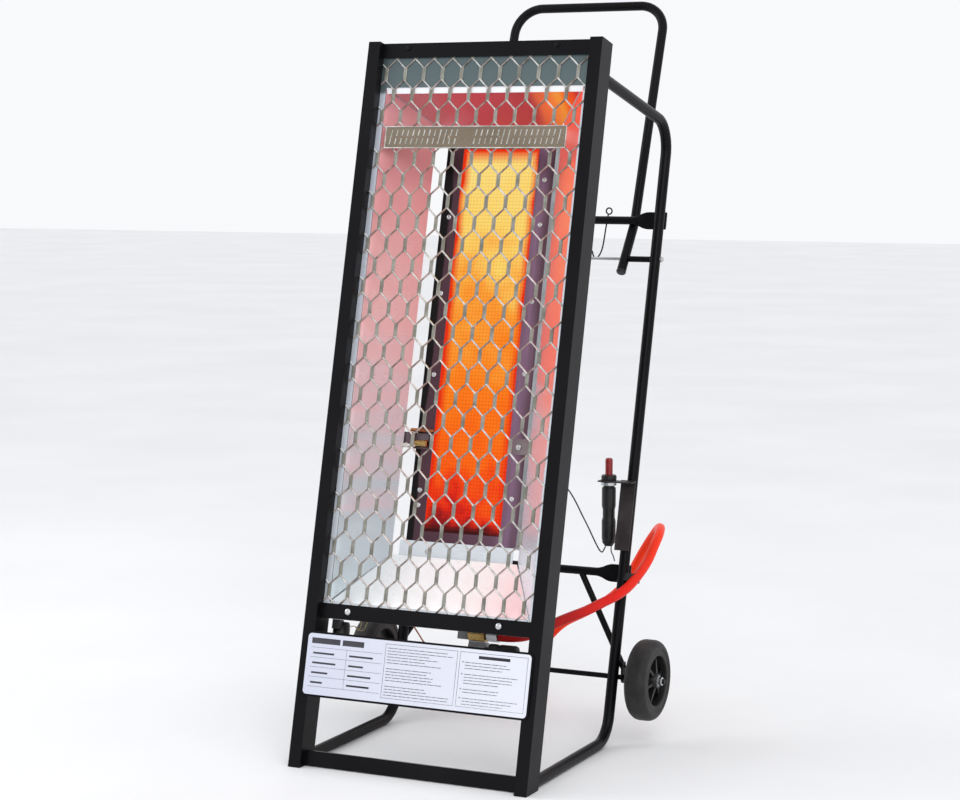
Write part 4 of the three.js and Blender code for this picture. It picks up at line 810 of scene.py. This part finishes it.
# One zinc for the whole guard in three copies: the bonds in its middle tone, the falling strands
# lighter as a painted highlight, and the rising strands darker and browner as painted shade.
guard_dull = coated("guard_zinc_dull", screen_colour(122, 120, 110), screen_colour(158, 158, 150),
                    (0.32, 0.5), 0.8, clouds=55, fine=900, relief=0.5, depth=0.0001)
guard_zinc_lit = coated("guard_zinc_painted_highlight", screen_colour(178, 178, 172),
                      screen_colour(236, 237, 234), (0.18, 0.34), 0.75, clouds=90, fine=900,
                      relief=0.5, depth=0.0001)
guard_zinc_shaded = coated("guard_zinc_painted_shade", screen_colour(122, 112, 104),
                     screen_colour(184, 174, 168), (0.26, 0.42), 0.85, clouds=90, fine=900,
                     relief=0.5, depth=0.0001)
finished(bonds, guard_dull, "zinc_plate")
for way, name, tint in ((-1, "guard_strands_falling", guard_zinc_lit),
                        (1, "guard_strands_rising", guard_zinc_shaded)):
    x0, h0 = bond_x, bond_h + BOND_TALL / 2
    x1, h1 = bond_x + way * CELL / 2, bond_h + ROW - BOND_TALL / 2
    kept = (np.abs(x0) < EDGE_X + 0.02) & (h0 > 0.228) & (h1 < 1.109)
    kept &= (np.minimum(np.abs(x0), np.abs(x1)) < EDGE_X)
    x0, h0, x1, h1 = x0[kept], h0[kept], x1[kept], h1[kept]
    limit = np.clip(x1, -EDGE_X, EDGE_X)
    h1 = h0 + (h1 - h0) * (limit - x0) / (x1 - x0)
    start_limit = np.clip(x0, -EDGE_X, EDGE_X)
    h0 = h0 + (h1 - h0) * (start_limit - x0) / (limit - x0)
    strands = bars(name, on_frame(start_limit, GUARD_DEPTH, h0), on_frame(limit, GUARD_DEPTH, h1),
                   strand_section)
    finished(strands, tint, "zinc_plate", "guard")


def ribbed_strip(name, x_range, h_range, depth, thick):
    """A thin plate: height is a rounded rim plus long raised ribs, on a grid over the plate."""
    columns, rows = 241, 37
    x = np.linspace(*x_range, columns)
    h = np.linspace(*h_range, rows)
    across, up = np.meshgrid(x, h, indexing="ij")
    u = (across - x_range[0]) / (x_range[1] - x_range[0])
    v = (up - h_range[0]) / (h_range[1] - h_range[0]) * 2 - 1
    rim = np.exp(-(((1 - np.abs(v)) - 0.12) / 0.07)**2)
    inside = np.clip((np.minimum(u, 1 - u) - 0.03) / 0.01, 0, 1)
    beat = np.abs((u * 3) % 1 - 0.5) * 2
    rib = np.exp(-(v / 0.16)**2) * np.clip((0.86 - beat) / 0.04, 0, 1) * inside
    rise = 0.0011 * rim + 0.0017 * rib
    rise[[0, -1]] = 0
    rise[:, [0, -1]] = 0
    front = on_frame(across, depth - rise, up)
    back = on_frame(across, depth + thick, up)
    faces = grid_faces(columns, rows, False)
    edge = np.concatenate([
        np.arange(rows), np.arange(1, columns) * rows + rows - 1,
        (columns - 1) * rows + np.arange(rows - 2, -1, -1), np.arange(columns - 2, 0, -1) * rows])
    after = np.roll(edge, -1)
    whole = columns * rows
    wall = np.stack([edge, after, after + whole, edge + whole], axis=1)
    points = np.vstack([front.reshape(-1, 3), back.reshape(-1, 3)])
    return add_mesh(name, points, [faces, faces[:, ::-1] + whole, wall], 50)


strip = ribbed_strip("guard_strip_plate", (-0.155, 0.147), (0.947, 0.981), 0.0129, 0.001)
strip_metal = coated("strip_zinc", screen_colour(128, 116, 100), screen_colour(142, 130, 114),
                     (0.2, 0.3), 0.85, clouds=12, fine=900, relief=0.15)
finished(strip, strip_metal, "cast_zinc", "guard_strip")
hatch_x = np.r_[np.arange(-0.147, -0.031, 0.0092), np.arange(-0.004, 0.136, 0.0092)]
rim_starts = np.array([(-0.155, 0.9475), (-0.155, 0.9805), (-0.1546, 0.948), (0.1466, 0.948)])
rim_ends = np.array([(0.147, 0.9475), (0.147, 0.9805), (-0.1546, 0.98), (0.1466, 0.98)])
raised_starts = np.vstack([rim_starts, np.stack([hatch_x, np.full(len(hatch_x), 0.953)], 1)])
raised_ends = np.vstack([rim_ends, np.stack([hatch_x + 0.004, np.full(len(hatch_x), 0.9755)],
                                            1)])
# The rim and hatch bars take the guard's lit zinc: a painted highlight on the raised bars.
raised = bars("strip_raised_bars", on_frame(raised_starts[:, 0], 0.0124, raised_starts[:, 1]),
              on_frame(raised_ends[:, 0], 0.0124, raised_ends[:, 1]),
              [(-0.0009, -0.0006), (-0.0006, 0.0006), (0.0006, 0.0006), (0.0009, -0.0006)])
finished(raised, guard_zinc_lit, "cast_zinc")

# ---- Burner -----------------------------------------------------------------------------
# Six pierced ceramic plates glow in a steel bezel on the mixing box. Each plate is a grid of
# square pockets, hottest near the top and dark along its lowest rows.
BURNER_FOOT = 0.372
BURNER_TOP = 0.968
TILE_FRONT = 0.1055
TILE_BACK = 0.1195
TILE_HALF = 0.066
POCKET_DEEP = 0.0012
POCKETS = (18, 24)

glow, tree, shader = new_material("glowing_ceramic")
place = node(tree, "ShaderNodeTexCoord").outputs["Object"]
offset = node(tree, "ShaderNodeVectorMath", {0: place, 1: (0.0, FRONT_Y, 0.0)},
              operation="SUBTRACT")
up = node(tree, "ShaderNodeVectorMath", {0: offset.outputs[0], 1: tuple(FRAME_UP)},
          operation="DOT_PRODUCT").outputs["Value"]
split = node(tree, "ShaderNodeSeparateXYZ", {0: place})
noise = node(tree, "ShaderNodeTexNoise", {"Vector": place, "Scale": 17.0, "Detail": 3.0})
drift = between(tree, noise.outputs["Fac"], 0.3, 0.7, -0.1, 0.1)
height = math(tree, "ADD", between(tree, up, BURNER_FOOT, BURNER_TOP), drift)
body_colour = ramp(tree, height, [
    (0.0, screen_colour(150, 18, 22)), (0.04, screen_colour(222, 34, 14)),
    (0.1, screen_colour(246, 68, 10)), (0.2, screen_colour(254, 102, 10)),
    (0.42, screen_colour(255, 130, 22)), (0.6, screen_colour(255, 164, 56)),
    (0.76, screen_colour(255, 212, 104)), (1.0, screen_colour(255, 224, 128))])
side_way = math(tree, "ABSOLUTE", split.outputs["X"])
side_edge = between(tree, math(tree, "ADD", side_way, between(
    tree, noise.outputs["Fac"], 0.3, 0.7, -0.003, 0.003)), 0.05, 0.0625)
top_edge = between(tree, up, 0.945, 0.966)
rim_way = math(tree, "MAXIMUM", side_edge, top_edge)
low_edge = between(tree, math(tree, "ADD", up, between(
    tree, noise.outputs["Fac"], 0.3, 0.7, -0.006, 0.006)), 0.392, 0.374)
rim_mix = node(tree, "ShaderNodeMix", {0: rim_way, 6: body_colour,
                                       7: (*screen_colour(235, 44, 6), 1)}, data_type="RGBA")
low_mix = node(tree, "ShaderNodeMix", {0: low_edge, 6: rim_mix.outputs[2],
                                       7: (*screen_colour(58, 10, 14), 1)}, data_type="RGBA")
pocket = node(tree, "ShaderNodeAttribute", attribute_name="pocket").outputs["Fac"]
walls = between(tree, pocket, 0, 1, 0.7, 1.0)
lit = node(tree, "ShaderNodeVectorMath", {0: low_mix.outputs[2]}, operation="SCALE")
tree.links.new(walls, lit.inputs["Scale"])
tree.links.new(lit.outputs[0], shader.inputs["Emission Color"])
shader.inputs["Base Color"].default_value = (0.02, 0.01, 0.008, 1)
shader.inputs["Emission Strength"].default_value = 1.0
shader.inputs["Roughness"].default_value = 0.95
shader.inputs["Specular IOR Level"].default_value = 0.1


def burner_plate(name, foot, top):
    """One plate: a grid whose points lie back by the pocket's depth, except along the webs.

    The grid's outer ring of points is carried to the plate's back, to make its sides.
    """
    steps = np.array([0, 0.13, 0.87])
    rows = np.append((np.arange(POCKETS[0])[:, None] + steps).ravel(), POCKETS[0])
    columns = np.append((np.arange(POCKETS[1])[:, None] + steps).ravel(), POCKETS[1])
    sunk = (np.abs(rows - np.round(rows)) > 0.01)[:, None] & (
        np.abs(columns - np.round(columns)) > 0.01)[None]
    h, x = np.meshgrid(foot + rows / POCKETS[0] * (top - foot),
                       -TILE_HALF + columns / POCKETS[1] * 2 * TILE_HALF,
                       indexing="ij")
    depth = TILE_FRONT + POCKET_DEEP * sunk
    h, x = np.pad(h, 1, mode="edge"), np.pad(x, 1, mode="edge")
    depth = np.pad(depth, 1, constant_values=TILE_BACK)
    shape = h.shape
    grid = grid_faces(*shape, False)
    corners = [0, shape[1] - 1, shape[0] * shape[1] - 1, (shape[0] - 1) * shape[1]]
    piece = add_mesh(name, on_frame(x, depth, h), [grid, [corners[::-1]]], 20)
    mesh = piece.data
    where = np.empty(len(mesh.vertices) * 3)
    mesh.vertices.foreach_get("co", where)
    where = where.reshape(-1, 3) - (0, FRONT_Y, 0)
    deep = where @ -FRAME_OUT
    mark = mesh.attributes.new("pocket", "FLOAT", "POINT")
    mark.data.foreach_set("value", np.clip((deep - TILE_FRONT) / POCKET_DEEP, 0, 1))
    return piece


plate_pitch = (BURNER_TOP - BURNER_FOOT + 0.004) / 6
for k in range(6):
    foot_h = BURNER_FOOT - 0.002 + k * plate_pitch + 0.00015
    plate = burner_plate(f"burner_plate_{k + 1}", foot_h, foot_h + plate_pitch - 0.0003)
    finished(plate, glow, "burner_ceramic", f"ceramic_tile_{k + 1}")

# Across the bezel: near black at its left edge, a painted shade on the shadowed flange, then brown
# to mauve, lightest a little short of its right edge.
bezel_steel = sheet_metal("bezel_steel", [
    (0.0, 14, 10, 12), (0.05, 20, 14, 17),
    (0.07, 84, 58, 68), (0.35, 92, 60, 72),
    (0.8, 112, 82, 100), (0.9, 138, 108, 134),
    (1.0, 96, 70, 82)], axis="X", reach=(-0.092, 0.092), metallic=0.7,
    rough=(0.25, 0.45), streak=(60, 7, 7), spread=0.03)
cover(bezel_steel, "burner_bezel")
tinted_steel = coated("heat_tinted_steel", screen_colour(92, 76, 84), screen_colour(150, 138, 140),
                      (0.28, 0.5), 0.9, clouds=9, fine=600)
cover(tinted_steel, "pilot_strap", "burner_strap")
galvanised = coated("galvanised_sheet", screen_colour(156, 160, 163), screen_colour(178, 182, 184),
                    (0.3, 0.5), 0.8, clouds=70, fine=500, relief=0.2)
cover(galvanised, "mixing_box", "mixing_tube")

rivets = [turned("rivet", dome(0.004, 0.0022), on_frame(x, 0.1041, h), FRAME_OUT, 16)
          for x, h in ((0.0775, 0.92), (0.0775, 0.85), (0.0775, 0.731), (0.0775, 0.62),
                       (0.0775, 0.43), (-0.0745, 0.613), (-0.0775, 0.434), (-0.0775, 0.411),
                       (-0.0775, 0.74), (-0.0775, 0.86))]
rivets.append(turned("bolt", dome(0.0048, 0.003), on_frame(0.081, 0.1023, 0.508), FRAME_OUT, 20))
rivets.append(turned("screw", dome(0.0042, 0.0024), on_frame(-0.047, 0.0907, 0.34), FRAME_OUT,
                     20))
finished(joined("burner_rivets", rivets), zinc_plate, "zinc_plate")
box_rivets = [turned("rivet", dome(0.003, 0.0016), on_frame(x, 0.1714, h), -FRAME_OUT, 14)
              for x in (-0.069, 0.069) for h in np.linspace(BURNER_FOOT, BURNER_TOP, 8)]
finished(joined("mixing_box_rivets", box_rivets), zinc_plate, "zinc_plate")

# ---- Pilot ------------------------------------------------------------------------------
# On the left strap: a pilot tube with a hood, the thermocouple's copper tip with its lead to
# the valve, and the spark electrode in its white insulator.
STRAP_H = 0.509
copper = coated("copper_tube", (0.3, 0.1, 0.045), (0.5, 0.2, 0.1), (0.25, 0.45), 1.0,
                clouds=60, fine=900)
brass = coated("machined_brass", (0.36, 0.22, 0.07), (0.52, 0.35, 0.13), (0.2, 0.34), 1.0,
               clouds=50, fine=1000)
cast_zinc = coated("cast_zinc", (0.2, 0.2, 0.2), (0.32, 0.32, 0.33), (0.4, 0.55), 0.8,
                   clouds=40, fine=700, relief=0.6, depth=0.0001)
tip_h = STRAP_H + 0.016
tip = turned("tip", [(0, -0.1), (0.0026, -0.1), (0.003, -0.098), (0.003, -0.064),
                     (0.0022, -0.0595), (0, -0.058)],
             on_frame(0, 0.097, tip_h), (1, 0, 0), 20)
lead_path = [on_frame(*spot) for spot in (
    (-0.098, 0.097, tip_h), (-0.099, 0.111, tip_h), (-0.088, 0.14, STRAP_H - 0.024),
    (-0.088, 0.14, 0.235), (-0.06, 0.14, 0.203), (0.0177, 0.14, 0.203))]
lead = tube("lead", bent_line(lead_path, (0.005, 0.012, 0.012, 0.012), 0.002), 0.0012,
            (0.1, 0.3, 0.9), 12)
finished(joined("thermocouple_copper", [tip, lead]), copper, "copper_lead", "thermocouple")

pilot = [turned("hood", [(0, -0.094), (0.0045, -0.094), (0.0045, -0.078), (0.0055, -0.077),
                         (0.0055, -0.07), (0.0038, -0.0685), (0.0038, -0.076), (0, -0.077)],
                on_frame(0, 0.0955, STRAP_H - 0.004), (1, 0, 0), 20)]
finished(joined("pilot_tube", pilot), brass, "brass")
insulator = turned("spark_insulator", [(0, -0.118), (0.0028, -0.118), (0.0028, -0.104),
                                       (0.0036, -0.103), (0.0036, -0.099), (0.0024, -0.097),
                                       (0.0024, -0.086), (0, -0.086)],
                   on_frame(0, 0.0868, STRAP_H - 0.009), (1, 0, 0), 18)
china = coated("white_ceramic", (0.62, 0.6, 0.55), (0.75, 0.73, 0.69), (0.2, 0.35), clouds=60)
finished(insulator, china, "burner_ceramic")

# ---- Gas valve --------------------------------------------------------------------------
# A brass body on a die-cast elbow feeds the mixing tube. The flame-failure unit below it has
# a black push button on its right end, and a plated nut holds the hose.
cover(brass, "valve_body", "bottle_nut")
cover(cast_zinc, "injector_elbow", "flame_failure_unit", "regulator")
cover(zinc_plate, "hose_nut")
knob_low, knob_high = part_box("valve_button")
knob_spot = np.array([0, (knob_low[1] + knob_high[1]) / 2, (knob_low[2] + knob_high[2]) / 2])
knob_x = knob_high[0]
knob = turned("valve_button_knob", [
    (0, knob_low[0]), (0.0038, knob_low[0]), (0.0038, knob_x - 0.046), (0.0094, knob_x - 0.046),
    (0.0099, knob_x - 0.045), (0.0099, knob_x - 0.034), (0.009, knob_x - 0.033),
    (0.009, knob_x - 0.028), (0.0099, knob_x - 0.027), (0.0099, knob_x - 0.003),
    (0.0085, knob_x - 0.0005), (0.007, knob_x), (0, knob_x)], knob_spot, (1, 0, 0), 32)
finished(knob, plastic, "black_plastic", "valve_button", body="valve_push_button")

# ---- Tilt switch ------------------------------------------------------------------------
# A black moulded can on a lug under the middle rail, which cuts the gas if the heater falls.
# Two thin leads run up behind the rail.
can_low, can_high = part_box("tilt_switch")
can_foot = np.array([(can_low[0] + can_high[0]) / 2, *on_frame(0, 0.046, 0.1727)[1:]])
can = turned("can", [(0, 0), (0.0105, 0), (0.0125, 0.0015), (0.013, 0.004), (0.013, 0.04),
                     (0.0122, 0.0415), (0.0122, 0.0435), (0.0128, 0.045), (0.0105, 0.0495),
                     (0, 0.05)], can_foot, FRAME_UP, 36)
lug_points = on_frame(np.array([-0.161, -0.149])[:, None], np.array([0.026, 0.04, 0.04, 0.026]),
                      np.array([0.2107, 0.2107, 0.2247, 0.2247]))
lug = add_mesh("lug", lug_points, [PRISM_FACES])
finished(joined("tilt_switch_can", [can, lug]), plastic, "black_plastic", "tilt_switch")
wires = []
for shift in (0.0, 0.009):
    wires.append(tube("wire", smooth_line(np.array([
        on_frame(-0.143, 0.046, 0.214), on_frame(-0.136, 0.05, 0.2175),
        on_frame(-0.13 + shift * 0.6, 0.054, 0.212), on_frame(-0.125 + shift, 0.052, 0.224),
        on_frame(-0.12 + shift, 0.046, 0.2425)])), 0.0006, (0.2, 0.9, 0.3), 8))
wire_cover = coated("straw_insulation", (0.5, 0.4, 0.16), (0.62, 0.52, 0.24), (0.4, 0.6))
finished(joined("tilt_switch_wires", wires), wire_cover, "black_plastic")

# ---- Igniter ----------------------------------------------------------------------------
# A piezo igniter stands in the shelf of its bracket on the right rear tube: a red push button
# in a black body, held by a plated ring nut. Its lead runs behind the burner to the pilot.
IGNITER = np.array([0.151, FRONT_Y + 0.408, 0.0])
IGNITER_FOOT = 0.296
bracket_steel = coated("bracket_steel", screen_colour(50, 45, 46), screen_colour(66, 60, 61),
                       (0.4, 0.5), specular=0.15, clouds=30)
cover(bracket_steel, "igniter_bracket")
body = turned("igniter_body_case", [
    (0, IGNITER_FOOT), (0.0068, IGNITER_FOOT), (0.0074, 0.298), (0.0098, 0.3005),
    (0.0109, 0.309), (0.011, 0.335), (0.0102, 0.3385), (0.0095, 0.3405), (0.0095, 0.3535),
    (0.0102, 0.356), (0.011, 0.36), (0.011, 0.388), (0.009, 0.3888), (0.009, 0.4001),
    (0.0118, 0.4001), (0.012, 0.402), (0.012, 0.4062), (0.0108, 0.408), (0.0064, 0.408),
    (0.0063, 0.3905), (0, 0.39)], IGNITER, (0, 0, 1), 36)
finished(body, plastic, "black_plastic", "igniter_body")
nut_turn = [(0.0093, 0.3918), (0.0118, 0.3918), (0.0125, 0.3924), (0.0125, 0.3968),
            (0.0118, 0.3973), (0.0093, 0.3973), (0.0093, 0.3918)]
finished(turned("igniter_ring_nut", nut_turn, IGNITER, (0, 0, 1), 32), zinc_plate, "zinc_plate",
         "igniter_nut")
red_plastic = coated("red_button_plastic", (0.22, 0.003, 0.003), (0.34, 0.006, 0.005),
                     (0.22, 0.32), clouds=60, fine=1500, relief=0.2, coat=0.3)
button = turned("igniter_button_cap", [
    (0, 0.3971), (0.0058, 0.3971), (0.0059, 0.43), (0.0057, 0.4325), (0.0048, 0.4342),
    (0.0042, 0.4344), (0.0034, 0.4338), (0, 0.4336)], IGNITER, (0, 0, 1), 32)
finished(button, red_plastic, "red_plastic", "igniter_button", body="igniter_push_button")

pilot_back = on_frame(-0.108, THROAT_DEPTH + 0.0036 + 0.0006, STRAP_H)
lead_line = smooth_line(np.vstack([
    np.array([(147, 405, 294.5), (144, 390, 290), (135, 348, 345), (124, 300, 402),
              (70, 294, 440), (-40, 301, 458), (-84, 299, 466), (-104, 276, 472)]) / 1000
    + (0, FRONT_Y, 0), pilot_back + (0, 0.014, 0.002), pilot_back]))
lead = tube("ignition_lead_wire", even_line(lead_line, 0.004), 0.0011, (0.3, 0.2, 1), 12)
finished(lead, plastic, "black_plastic", "ignition_lead")
earth_line = smooth_line(np.array([(155, 409, 295.5), (158, 402, 288), (163, 398, 282),
                                   (165, 399, 274)]) / 1000 + (0, FRONT_Y, 0))
earth = tube("igniter_earth_wire", earth_line, 0.0009, (1, 0.1, 0.1), 10)
finished(earth, plastic, "black_plastic")

# ---- Data plate -------------------------------------------------------------------------
# A pale foil on a black backing plate across the uprights, ruled with plain lines and boxes
# where the maker's data would be.
foil = sheet_metal("pale_foil", [(0.0, 206, 210, 226),
                                 (1.0, 226, 228, 238)],
                   axis="X", reach=(-0.18, 0.18), metallic=0.0, rough=(0.3, 0.42), spread=0.06)
cover(foil, "label_foil")


def printed(name, rows, depth):
    """Flat ink marks: thin slabs from rows of (left, right, low, high) on the data plate."""
    marks = np.asarray(rows)
    x = marks[:, [0, 1, 1, 0]]
    h = marks[:, [2, 2, 3, 3]]
    points = np.stack([on_frame(x, depth, h), on_frame(x, depth + 0.00015, h)], axis=1)
    base = (np.arange(len(marks)) * 8)[:, None, None]
    faces = PRISM_FACES[None] + base
    return add_mesh(name, points, [faces.reshape(-1, 4)])


def ruled_box(left, right, low, high, line=0.0006):
    """The four sides of a drawn box."""
    return [(left, right, low, low + line), (left, right, high - line, high),
            (left, left + line, low, high), (right - line, right, low, high)]


random = np.random.default_rng(7)
ink = ruled_box(-0.052, 0.066, 0.1165, 0.196) + ruled_box(0.07, 0.178, 0.1165, 0.196)
ink += [(-0.176, -0.056, h, h + 0.0005) for h in (0.18, 0.1655, 0.151, 0.1365, 0.122)]
ink += [(-0.116, -0.1155, 0.122, 0.18)]
ink += [(-0.176, -0.128, 0.186, 0.1945), (-0.124, -0.088, 0.186, 0.1945)]
for h in (0.1705, 0.156, 0.1415, 0.127):
    ink += [(-0.172, -0.172 + random.uniform(0.02, 0.045), h, h + 0.0028),
            (-0.111, -0.111 + random.uniform(0.02, 0.042), h, h + 0.0028)]
for left, width, first, count, breaks in ((-0.048, 0.108, 0.1895, 17, (6, 12)),
                                          (0.079, 0.094, 0.1805, 15, (3, 8, 11))):
    for k in range(count):
        h = first - k * 0.0043
        if k in breaks:
            continue
        if left > 0 and k - 1 in (-1, *breaks):
            ink += [(0.0745, 0.0765, h, h + 0.0016)]
        spot = left
        end = left + width * random.uniform(0.55, 1)
        while spot < end:
            dash = random.uniform(0.004, 0.013)
            ink += [(spot, min(spot + dash, end), h, h + 0.0009)]
            spot += dash + 0.0012
ink += [(0.1, 0.15, 0.1875, 0.192)]
ink_black = coated("label_ink", (0.03, 0.03, 0.04), (0.06, 0.06, 0.075), (0.4, 0.5))
finished(printed("data_plate_ink", ink, -0.0026), ink_black, "label_foil")

# ---- Finish -----------------------------------------------------------------------------
low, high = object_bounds()
